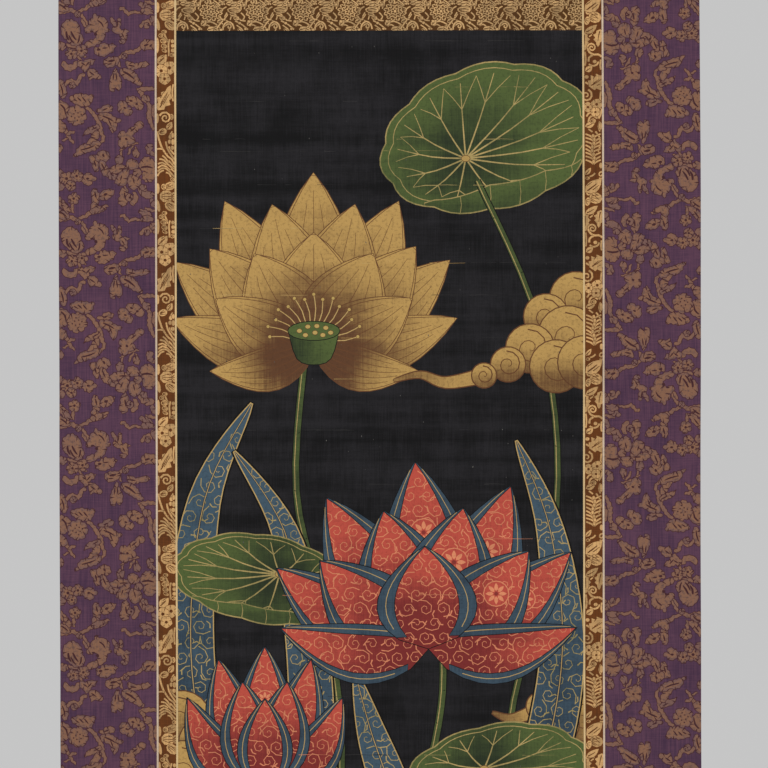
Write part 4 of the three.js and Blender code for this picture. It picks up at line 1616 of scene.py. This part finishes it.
# A floating or standing leaf: its middle, its half-width and half-height, its turn, where its hub lies
# from its middle, and how many veins it has
Pad = namedtuple("Pad", "across below wide high turn hub veins")
PADS = [Pad(*row) for row in (
    (108, 108, 104, 70, -14, (-26, 14), 15), (-120, 548, 86, 42, 10, (18, -8), 13),
    (118, 742, 92, 46, -8, (-14, -6), 13), (-70, 880, 118, 50, 4, (10, -6), 15),
    (104, 958, 96, 36, -3, (-12, -4), 13),
)]
RIM_LOBES = 11


def pad_outline(pad, part=1.0, steps=66):
    points = []
    for i in range(steps):
        a = 2 * math.pi * i / steps
        wave = 1 + 0.045 * abs(math.sin(a * RIM_LOBES / 2)) - 0.02 * math.cos(3 * a + 1)
        points.append((pad.wide * part * wave * math.cos(a), pad.high * part * wave * math.sin(a)))
    return turned(points, pad.turn, 1, pad.across, pad.below)


def between(a, b, across, down):
    """The point halfway between two others, moved a little."""
    return (a[0] + b[0]) / 2 + across, (a[1] + b[1]) / 2 + down


def paint_pad(brush, pad):
    """A lotus leaf with forked veins and its near rim turned over."""
    hub = turned([pad.hub], pad.turn, 1, pad.across, pad.below)[0]
    outline = pad_outline(pad)
    number = brush.form(outline, "moss", Glow(hub, pad.wide, 0.15, 0.95), "moss_line", 1.3)
    rim = pad_outline(pad, 0.93)
    brush.line([*rim, rim[0]], "moss_line", 0.8, 0.8, number)
    rim = pad_outline(pad, 0.86)
    for i in range(pad.veins):
        at = int(len(rim) * i / pad.veins)
        line = curve([hub, between(hub, rim[at], 0, 3), rim[at]], 3)
        brush.line(line, "moss_line", 1.7, 0.7, number)
        start = line[int(len(line) * 0.6)]
        for side in (-2, 2):
            fork = rim[(at + side) % len(rim)]
            brush.line([start, between(start, fork, 0, -1), fork], "moss_line", 0.9, 0.5, number)
    brush.form(disc(*hub, 4.2, 10, 0.7), "ochre", 0.4, "gold_contour", 0.6, number)
    near = outline[int(len(outline) * 0.12):int(len(outline) * 0.4)]
    bulge = pad.high * 0.34
    fold = [(x, y - bulge * math.sin(math.pi * (i + 0.5) / len(near))) for i, (x, y) in enumerate(near)]
    tone = Fade((pad.across, pad.below + pad.high * 0.5), (pad.across, pad.below + pad.high), 1.0, 0.45)
    turned_rim = brush.form(near + fold[::-1], "moss", tone, "moss_line", 1.0)
    for a, b in list(zip(near, fold))[2:-2:3]:
        brush.line([a, between(a, b, 1, 0), b], "moss_line", 0.7, 0.5, turned_rim)


# A broad blade or a stem: its width at the foot and at the tip, how it swells, and its way as points
Blade = namedtuple("Blade", "foot tip belly way")
BLADES = [Blade(*row, paired(way)) for *row, way in (
    (12, 3, 40, [-128,900, -168,760, -190,620, -176,470, -128,372]),
    (12, 3, 38, [-14,980, -52,860, -66,740, -74,610, -96,500, -146,420]),
    (12, 3, 40, [64,940, 112,860, 160,740, 182,620, 170,500, 136,410]),
    (10, 3, 34, [20,970, 34,880, 16,780, -10,700, -26,640]),
)]
STEMS_OF_PICTURE = [Blade(*row, paired(way)) for *row, way in (
    (8, 6, 0, [-60,1010, -66,880, -40,740, -52,600, -84,460, -72,300]),
    (8, 6, 0, [30,1000, 20,880, 44,760, 62,660, 58,560]),
    (7, 5, 0, [70,1000, 140,820, 128,700, 176,480, 160,300, 98,150]),
    (6, 4, 0, [-150,1000, -158,880, -124,800, -116,740]),
    (6, 4, 0, [150,1010, 176,900, 164,840]),
)]


def paint_blade(brush, blade):
    """A blue blade with gold edges, a rib and small scrolls beside it."""
    line = curve(blade.way, 7)
    outline = ribbon(line, blade.foot, blade.tip, blade.belly)
    brush.form(outline, "gold_line", 0.6, "ink_line", 1.7)
    tone = Fade(blade.way[0], blade.way[-1], 0.1, 0.95)
    number = brush.drawing.add(grown(outline, -1.1), "indigo", None, tone)
    paint_scrolls(brush, outline, number, "moss_line", BLADE_PITCH)
    brush.line(line, "indigo", 4.2, 1.6, number, 0.25)
    brush.line(line, "gold_line", 1.1, 0.6, number)


def paint_stem(brush, stem):
    line = curve(stem.way, 6)
    number = brush.form(ribbon(line, stem.foot, stem.tip), "moss", 0.55, "ink_line", 1.0)
    brush.line([(x - 1.2, y) for x, y in line], "moss_line", 1.0, 0.8, number)
    for i in range(2, len(line) - 2, 2):
        x, y = line[i]
        side = 1 if i % 4 else -1
        brush.line([(x + side * 1.0, y), (x + side * 2.4, y - 0.8)], "ink_line", 0.9, 0.5, number, 0.4)


# Cloud banks: overlapping rounds from back to front, each across, below and radius, and their tails
CLOUDS = [
    [(196, 268, 26), (166, 286, 22), (188, 306, 30), (150, 318, 24), (128, 334, 17), (176, 336, 26),
    (204, 332, 26), (104, 345, 12)],
    [(-200, 690, 30), (-176, 712, 26), (-196, 742, 32), (-156, 736, 22), (-164, 760, 26), (-130, 756, 17),
    (-190, 780, 28), (-108, 768, 11)],
    [(196, 640, 24), (176, 660, 20), (200, 682, 28), (160, 676, 14), (178, 694, 20)],
]
TAILS = [
    [104,345, 66,352, 40,344, 14,350], [-108,768, -74,778, -44,770], [160,678, 132,688, 112,682],
]
TAIL_WIDE, TAIL_TIP = 15, 2
CLOUD_EDGE = 1.2
CLOUD_POINTS = 22


def paint_clouds(brush):
    for bank, tail in zip(CLOUDS, TAILS):
        tail = paired(tail)
        outline = ribbon(curve(tail, 5), TAIL_WIDE, TAIL_TIP)
        brush.form(outline, "gold", Fade(tail[0], tail[-1], 0.85, 0.4), "gold_contour", CLOUD_EDGE)
        for across, below, radius in bank:
            tone = Fade((across, below + radius), (across, below - radius), 0.3, 1.0)
            outline = disc(across, below, radius, CLOUD_POINTS)
            number = brush.form(outline, "gold", tone, "gold_contour", CLOUD_EDGE)
            swirl = turned(spiral_line(radius * 0.8, 1.5, 0.4, 12), -120, 1, across, below)
            brush.line(swirl, "gold_contour", 1.3, 0.7, number)


# Water: rows of overlapping scales, of which only the arcs that show are drawn
WATER_TOP, WATER_SCALE, WATER_ROW = 1000, 27, 15
WATER_RINGS = (26, 18.6, 10.4)
WATER_GAP = 0.6
ARC_STEPS = 18


def paint_water(brush):
    half, foot = PICTURE.right + WATER_SCALE, PAINTING + WATER_SCALE
    below = WATER_TOP + WATER_SCALE
    count = math.ceil(PICTURE.right / WATER_SCALE) + 1
    for i in range(-count, count + 1):
        brush.form(disc(i * WATER_SCALE * 2, below, WATER_SCALE, 24), "indigo", 0.5, "gold_line", 1.0)
    pool = [(-half, below), (half, below), (half, foot), (-half, foot)]
    brush.drawing.add(pool, "indigo", None, Fade((0, below), (0, PAINTING), 0.6, 0.25))
    shift = 0
    while below < foot + WATER_SCALE:
        for i in range(-count, count + 1):
            across = (i + shift) * WATER_SCALE * 2
            for radius in WATER_RINGS:
                ring = []
                for step in range(ARC_STEPS + 1):
                    a = math.pi * (1 + step / ARC_STEPS)
                    x, y = radius * math.cos(a), radius * math.sin(a)
                    if math.hypot(abs(x) - WATER_SCALE, y - WATER_ROW) > WATER_SCALE + WATER_GAP:
                        ring.append((across + x, below + y))
                if len(ring) > 2:
                    brush.line(ring, "gold_line", 1.0, 1.0, tone=0.35)
        below += WATER_ROW
        shift = 0.5 - shift


# Marks of age: thin rubbed lines along creases, lighter where they cross pigment, and small flecks
FLECKS = 150
RUBS = 130
RUBBED_PAINTS = {"gold": "gold_line", "ochre": "gold_line", "vermilion": "orange_line", "moss": "moss_line"}


def paint_at(forms, point):
    """The paint of the last form that holds a point."""
    for left, top, right, bottom, shape in reversed(forms):
        if left < point[0] < right and top < point[1] < bottom and holds(shape.outline, point):
            return shape.paint
    return None


def paint_wear(brush):
    chance = brush.drawing.chance
    half = PICTURE.right - 6
    forms = [(*box_of(s.outline), s) for s in brush.drawing.shapes if s.within is None]
    for _ in range(RUBS):
        crease = chance.choice(CREASES[:-4])
        start = crease.across + chance.uniform(-0.5, 0.4) * crease.span
        end = start + chance.uniform(5, 38)
        if abs(start) < half and abs(end) < half:
            below = crease_line(crease, start) - PICTURE.top
            middle = ((start + end) / 2, below + chance.uniform(-0.5, 0.5))
            paint = RUBBED_PAINTS.get(paint_at(forms, middle), "rubbed_line")
            tone = chance.uniform(0.1, 0.75)
            brush.line([(start, below), middle, (end, below + 0.2)], paint, 0.45, 0.2, tone=tone)
    for _ in range(FLECKS):
        x, y = chance.uniform(-half, half), chance.uniform(6, PAINTING - 6)
        fleck = round_outline(chance.uniform(0.25, 0.5), 5, chance.uniform(0.5, 2.6))
        fleck = turned(fleck, chance.uniform(-25, 25), 1, x, y)
        brush.drawing.add(fleck, "fleck", None, chance.uniform(0, 0.8))


GOLD_PAINTS = LotusPaints("gold", "gold_contour", "gold_contour", None)
RED_PAINTS = LotusPaints("vermilion", "ink_line", "orange_line", "indigo")
PINK_PAINTS = LotusPaints("vermilion", "ink_line", "orange_line", None)


def picture_pattern():
    """The painting: lotus flowers, leaves, clouds and water on dark silk."""
    drawing = Drawing(PICTURE_SEED)
    brush = Brush(drawing)
    paint_water(brush)
    paint_pad(brush, PADS[0])
    for stem in STEMS_OF_PICTURE:
        paint_stem(brush, stem)
    for pad in PADS[3:]:
        paint_pad(brush, pad)
    paint_blade(brush, BLADES[0])
    paint_blade(brush, BLADES[1])
    paint_lotus(brush, (-66, 318), GREAT_LOTUS, GOLD_PAINTS, pod=60)
    paint_clouds(brush)
    paint_blade(brush, BLADES[2])
    paint_pad(brush, PADS[1])
    paint_blade(brush, BLADES[3])
    paint_lotus(brush, (48, 618), sized(RED_LOTUS, 1.25), RED_PAINTS, scrolls=True)
    paint_lotus(brush, (-116, 756), sized(HALF_OPEN, 1.1), RED_PAINTS, scrolls=True)
    paint_pad(brush, PADS[2])
    paint_lotus(brush, (164, 846), BUD, PINK_PAINTS)
    drawing.shapes = seen(drawing.shapes)
    paint_wear(brush)
    return lowered(drawing.shapes, PICTURE.top)


def lowered(shapes, by):
    """Shapes moved down the scroll, with their fades."""
    moved = []
    for shape in shapes:
        tone = shape.tone
        if isinstance(tone, Fade):
            (x0, y0), (x1, y1) = tone.start, tone.end
            tone = tone._replace(start=(x0, y0 + by), end=(x1, y1 + by))
        elif isinstance(tone, Glow):
            tone = tone._replace(middle=(tone.middle[0], tone.middle[1] + by))
        moved.append(shape._replace(outline=[(x, y + by) for x, y in shape.outline], tone=tone))
    return moved


# Pieces

SIDES = ("top", "bottom", "left", "right")
HEADING_TURN_IN = 26
FOOT_CLOTH = 284
ROUND_HEADING, ROUND_ROLLER = 60, 130
PURPLE_RECTS = {
    "top": joined(Rect(-WIDTH / 2, WIDTH / 2, 0, TOP_PANEL)),
    "bottom": joined(Rect(-WIDTH / 2, WIDTH / 2, FOOT_TOP, ROLLER_DOWN)),
    "left": joined(OPENING._replace(left=-WIDTH / 2, right=OPENING.left - SEAM)),
    "right": joined(OPENING._replace(left=OPENING.right + SEAM, right=WIDTH / 2)),
}
BROWN_RECTS = {side: joined(rect) for side, rect in around(IN_OUTER_FILLET, INNER_SIDE, INNER_END).items()}
STRIP_RECTS = {
    "top": joined(MIDDLE._replace(bottom=MIDDLE.top + TOP_STRIP)),
    "bottom": joined(MIDDLE._replace(top=MIDDLE.bottom - BOTTOM_STRIP)),
}


def fit(piece, stands_for):
    """Fastens a piece to the scroll, in place of its solid."""
    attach(piece, "root")
    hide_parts(stands_for)


def make_fillets():
    """The narrow folded strips at both edges of the inner borders."""
    rings = (
        ("cream_fillet_", "outer_fillet_", OPENING, "cream_fold", "cream_silk"),
        ("pale_fillet_", "inner_fillet_", IN_INNER_BORDER, "pale_gold_fold", "pale_gold_silk"),
    )
    for name, stands_for, rect, fold, silk in rings:
        for side, strip in around(rect, FILLET, FILLET).items():
            strip = joined(strip)
            piece = make_sheet(name + side, strip, plain_section(strip), [], fold, crown=size("crown"))
            fit(piece, stands_for + side)


def make_purple_borders():
    for side in SIDES:
        rect, hangs_from, length = PURPLE_RECTS[side], ["purple_border_top"], None
        if side == "top":
            hangs_from, length = [], TOP_PANEL + HEADING_TURN_IN
            section, shapes = heading_section(rect), panel_pattern(-ROUND_HEADING, rect.bottom)
        elif side == "bottom":
            hangs_from, length = ["purple_border_left", "purple_border_right"], FOOT_CLOTH
            section, shapes = foot_section(rect), panel_pattern(rect.top, ROLLER_DOWN + ROUND_ROLLER)
        else:
            section, shapes = plain_section(rect), side_pattern(side)
        piece = make_sheet("purple_border_" + side, rect, section, shapes, "purple_ground", "purple_hem")
        fit(piece, "outer_border_" + side)


def make_brown_borders():
    for side in SIDES:
        rect = BROWN_RECTS[side]
        shapes = brown_pattern(side, rect)
        piece = make_sheet("brown_border_" + side, rect, plain_section(rect), shapes, "brown_ground")
        fit(piece, "inner_border_" + side)


def make_gold_strips():
    for side, rect in STRIP_RECTS.items():
        name = "gold_strip_" + side
        piece = make_sheet(name, rect, plain_section(rect), strip_pattern(rect), "strip_ground")
        fit(piece, side + "_strip")


def make_picture():
    rect = joined(PICTURE)
    piece = make_sheet("silk_picture", rect, plain_section(rect), picture_pattern(), "ink_silk")
    fit(piece, "painting")


KNOB_TURNS = 56
KNOB_ARC = 5
# The knob's collar: along the axis, and how far under the full radius
COLLAR = [(0, 1.1), (0.4, 0.6), (3.2, 0.6)]
GROOVE_START, GROOVE_HALF = 3.6, 1.1
BODY_START, BODY_UNDER = 6.4, 0.15
ROUND_END = 3.4
# The dish in the knob's end: parts of its depth and of the knob's radius
DISH = [(0, 0.62), (0.8, 0.5), (1, 0.25), (1, 0)]


def knob_profile():
    """Points along the axis and out from it: a collar, a groove, a body with a rounded end, and a dish."""
    points = [(0, 0)] + [(along, KNOB_RADIUS - under) for along, under in COLLAR]
    for i in range(KNOB_ARC):
        a = math.pi * i / (KNOB_ARC - 1)
        out = KNOB_RADIUS - COLLAR[-1][1] - size("groove") * math.sin(a)
        points.append((GROOVE_START + GROOVE_HALF * (1 - math.cos(a)), out))
    points += [(BODY_START, KNOB_RADIUS - BODY_UNDER), (KNOB_LENGTH * 0.5, KNOB_RADIUS)]
    for i in range(KNOB_ARC + 1):
        a = math.pi / 2 * i / KNOB_ARC
        along = KNOB_LENGTH - ROUND_END + ROUND_END * math.sin(a)
        points.append((along, KNOB_RADIUS - ROUND_END + ROUND_END * math.cos(a)))
    return points + [(KNOB_LENGTH - size("dish") * deep, KNOB_RADIUS * part) for deep, part in DISH]


def make_knobs():
    """The two turned ends of the roller."""
    for name, side in (("left", -1), ("right", 1)):
        shape = bmesh.new()
        start = side * (WIDTH / 2 + SEAM)
        centre = Vector((0, ROLLER_Y, -ROLLER_DOWN)) * MM
        verts = [shape.verts.new(centre + Vector((start + side * along, 0, out)) * MM)
                 for along, out in knob_profile()]
        edges = [shape.edges.new(pair) for pair in zip(verts, verts[1:])]
        bmesh.ops.spin(shape, geom=verts + edges, cent=centre, axis=(1, 0, 0), angle=2 * math.pi,
                       steps=KNOB_TURNS, use_merge=True)
        bmesh.ops.remove_doubles(shape, verts=shape.verts, dist=WELD)
        bmesh.ops.recalc_face_normals(shape, faces=shape.faces)
        for face in shape.faces:
            face.smooth = True
        mesh = bpy.data.meshes.new("lacquer_knob_" + name)
        shape.to_mesh(mesh)
        shape.free()
        mesh.set_sharp_from_angle(angle=SHARP)
        mesh.materials.append(lacquer_material())
        fit(placed(mesh), "knob_" + name)


# Stage: a pale floor, soft lights and the camera

WORLD_GREY, WORLD_STRENGTH = 0.8, 0.7
Lamp = namedtuple("Lamp", "name place wide power")
LAMPS = [Lamp("key", (-2.2, -3.4, 0.6), 2.4, 60), Lamp("fill", (2.6, -3.0, -1.2), 2.4, 30)]
LAMP_AIM = (0, 0, -0.8)
CAMERA_DISTANCE = 4.0
VIEW_WIDTH = 0.768
SENSOR = 36
CAMERA_ACROSS, CAMERA_HEIGHT, CAMERA_ROLL = 0.004, -0.757, 0.13


def make_floor():
    shape = bmesh.new()
    bmesh.ops.create_circle(shape, cap_ends=True, radius=size("floor_radius") * MM, segments=96,
                            matrix=Matrix.Translation((0, 0, CAD_BOX[0][2] - size("floor_drop") * MM)))
    mesh = bpy.data.meshes.new("floor")
    shape.to_mesh(mesh)
    shape.free()
    mesh.materials.append(floor_material())
    placed(mesh)


def make_stage():
    scene = bpy.context.scene
    scene.world = bpy.data.worlds.new("studio")
    scene.world.use_nodes = True
    background = scene.world.node_tree.nodes["Background"]
    background.inputs["Color"].default_value = (WORLD_GREY, WORLD_GREY, WORLD_GREY, 1)
    background.inputs["Strength"].default_value = WORLD_STRENGTH
    for lamp in LAMPS:
        light = bpy.data.lights.new(lamp.name, "AREA")
        light.size = lamp.wide
        light.energy = lamp.power
        holder = bpy.data.objects.new(lamp.name, light)
        holder.location = lamp.place
        holder.rotation_euler = (Vector(LAMP_AIM) - Vector(lamp.place)).to_track_quat("-Z", "Y").to_euler()
        holder.visible_camera = False
        scene.collection.objects.link(holder)
    camera = bpy.data.cameras.new("camera")
    camera.sensor_width = SENSOR
    camera.lens = SENSOR * CAMERA_DISTANCE / VIEW_WIDTH
    stand = bpy.data.objects.new("camera", camera)
    stand.location = (CAMERA_ACROSS, -CAMERA_DISTANCE, CAMERA_HEIGHT)
    stand.rotation_euler = (math.pi / 2, math.radians(CAMERA_ROLL), 0)
    scene.collection.objects.link(stand)
    scene.camera = stand
    scene.view_settings.view_transform = "Standard"
    make_floor()


# Operators and panel

class SCROLL_OT_stage(bpy.types.Operator):
    """Set up the floor, the soft lights and the camera"""

    bl_idname = "scroll.stage"
    bl_label = "Stage"

    def execute(self, context):
        make_stage()
        return {"FINISHED"}


class SCROLL_OT_fillets(bpy.types.Operator):
    """Make the cream and pale gold fillets"""

    bl_idname = "scroll.fillets"
    bl_label = "Fillets"

    def execute(self, context):
        make_fillets()
        return {"FINISHED"}


class SCROLL_OT_purple_borders(bpy.types.Operator):
    """Make the four purple borders, with the heading and the wound foot"""

    bl_idname = "scroll.purple_borders"
    bl_label = "Purple borders"

    def execute(self, context):
        make_purple_borders()
        return {"FINISHED"}


class SCROLL_OT_brown_borders(bpy.types.Operator):
    """Make the four narrow brown borders"""

    bl_idname = "scroll.brown_borders"
    bl_label = "Brown borders"

    def execute(self, context):
        make_brown_borders()
        return {"FINISHED"}


class SCROLL_OT_gold_strips(bpy.types.Operator):
    """Make the gold brocade strips above and below the painting"""

    bl_idname = "scroll.gold_strips"
    bl_label = "Gold strips"

    def execute(self, context):
        make_gold_strips()
        return {"FINISHED"}


class SCROLL_OT_picture(bpy.types.Operator):
    """Make the painted silk"""

    bl_idname = "scroll.picture"
    bl_label = "Painting"

    def execute(self, context):
        make_picture()
        return {"FINISHED"}


class SCROLL_OT_knobs(bpy.types.Operator):
    """Make the turned ends of the roller"""

    bl_idname = "scroll.knobs"
    bl_label = "Roller ends"

    def execute(self, context):
        make_knobs()
        return {"FINISHED"}


OPERATORS = (
    SCROLL_OT_stage,
    SCROLL_OT_fillets,
    SCROLL_OT_purple_borders,
    SCROLL_OT_brown_borders,
    SCROLL_OT_gold_strips,
    SCROLL_OT_picture,
    SCROLL_OT_knobs,
)


class SCROLL_PT_pieces(bpy.types.Panel):
    """The scroll's pieces, sizes and colours"""

    bl_label = "Hanging Scroll"
    bl_idname = "SCROLL_PT_pieces"
    bl_space_type = "VIEW_3D"
    bl_region_type = "UI"
    bl_category = "Scroll"

    def draw(self, context):
        layout = self.layout
        for operator in OPERATORS:
            layout.operator(operator.bl_idname)
        for group in (context.scene.scroll_sizes, context.scene.scroll_colours):
            box = layout.box()
            for name in group.bl_rna.properties.keys():
                if name not in ("rna_type", "name"):
                    box.prop(group, name)


CLASSES = (ScrollSizes, ScrollColours, *OPERATORS, SCROLL_PT_pieces)


def register():
    for cls in CLASSES:
        bpy.utils.register_class(cls)
    bpy.types.Scene.scroll_sizes = PointerProperty(type=ScrollSizes)
    bpy.types.Scene.scroll_colours = PointerProperty(type=ScrollColours)


def unregister():
    del bpy.types.Scene.scroll_colours
    del bpy.types.Scene.scroll_sizes
    for cls in reversed(CLASSES):
        bpy.utils.unregister_class(cls)


def main():
    register()
    bpy.ops.scroll.stage()
    bpy.ops.scroll.fillets()
    bpy.ops.scroll.purple_borders()
    bpy.ops.scroll.brown_borders()
    bpy.ops.scroll.gold_strips()
    bpy.ops.scroll.picture()
    bpy.ops.scroll.knobs()


if __name__ == "__main__":
    main()
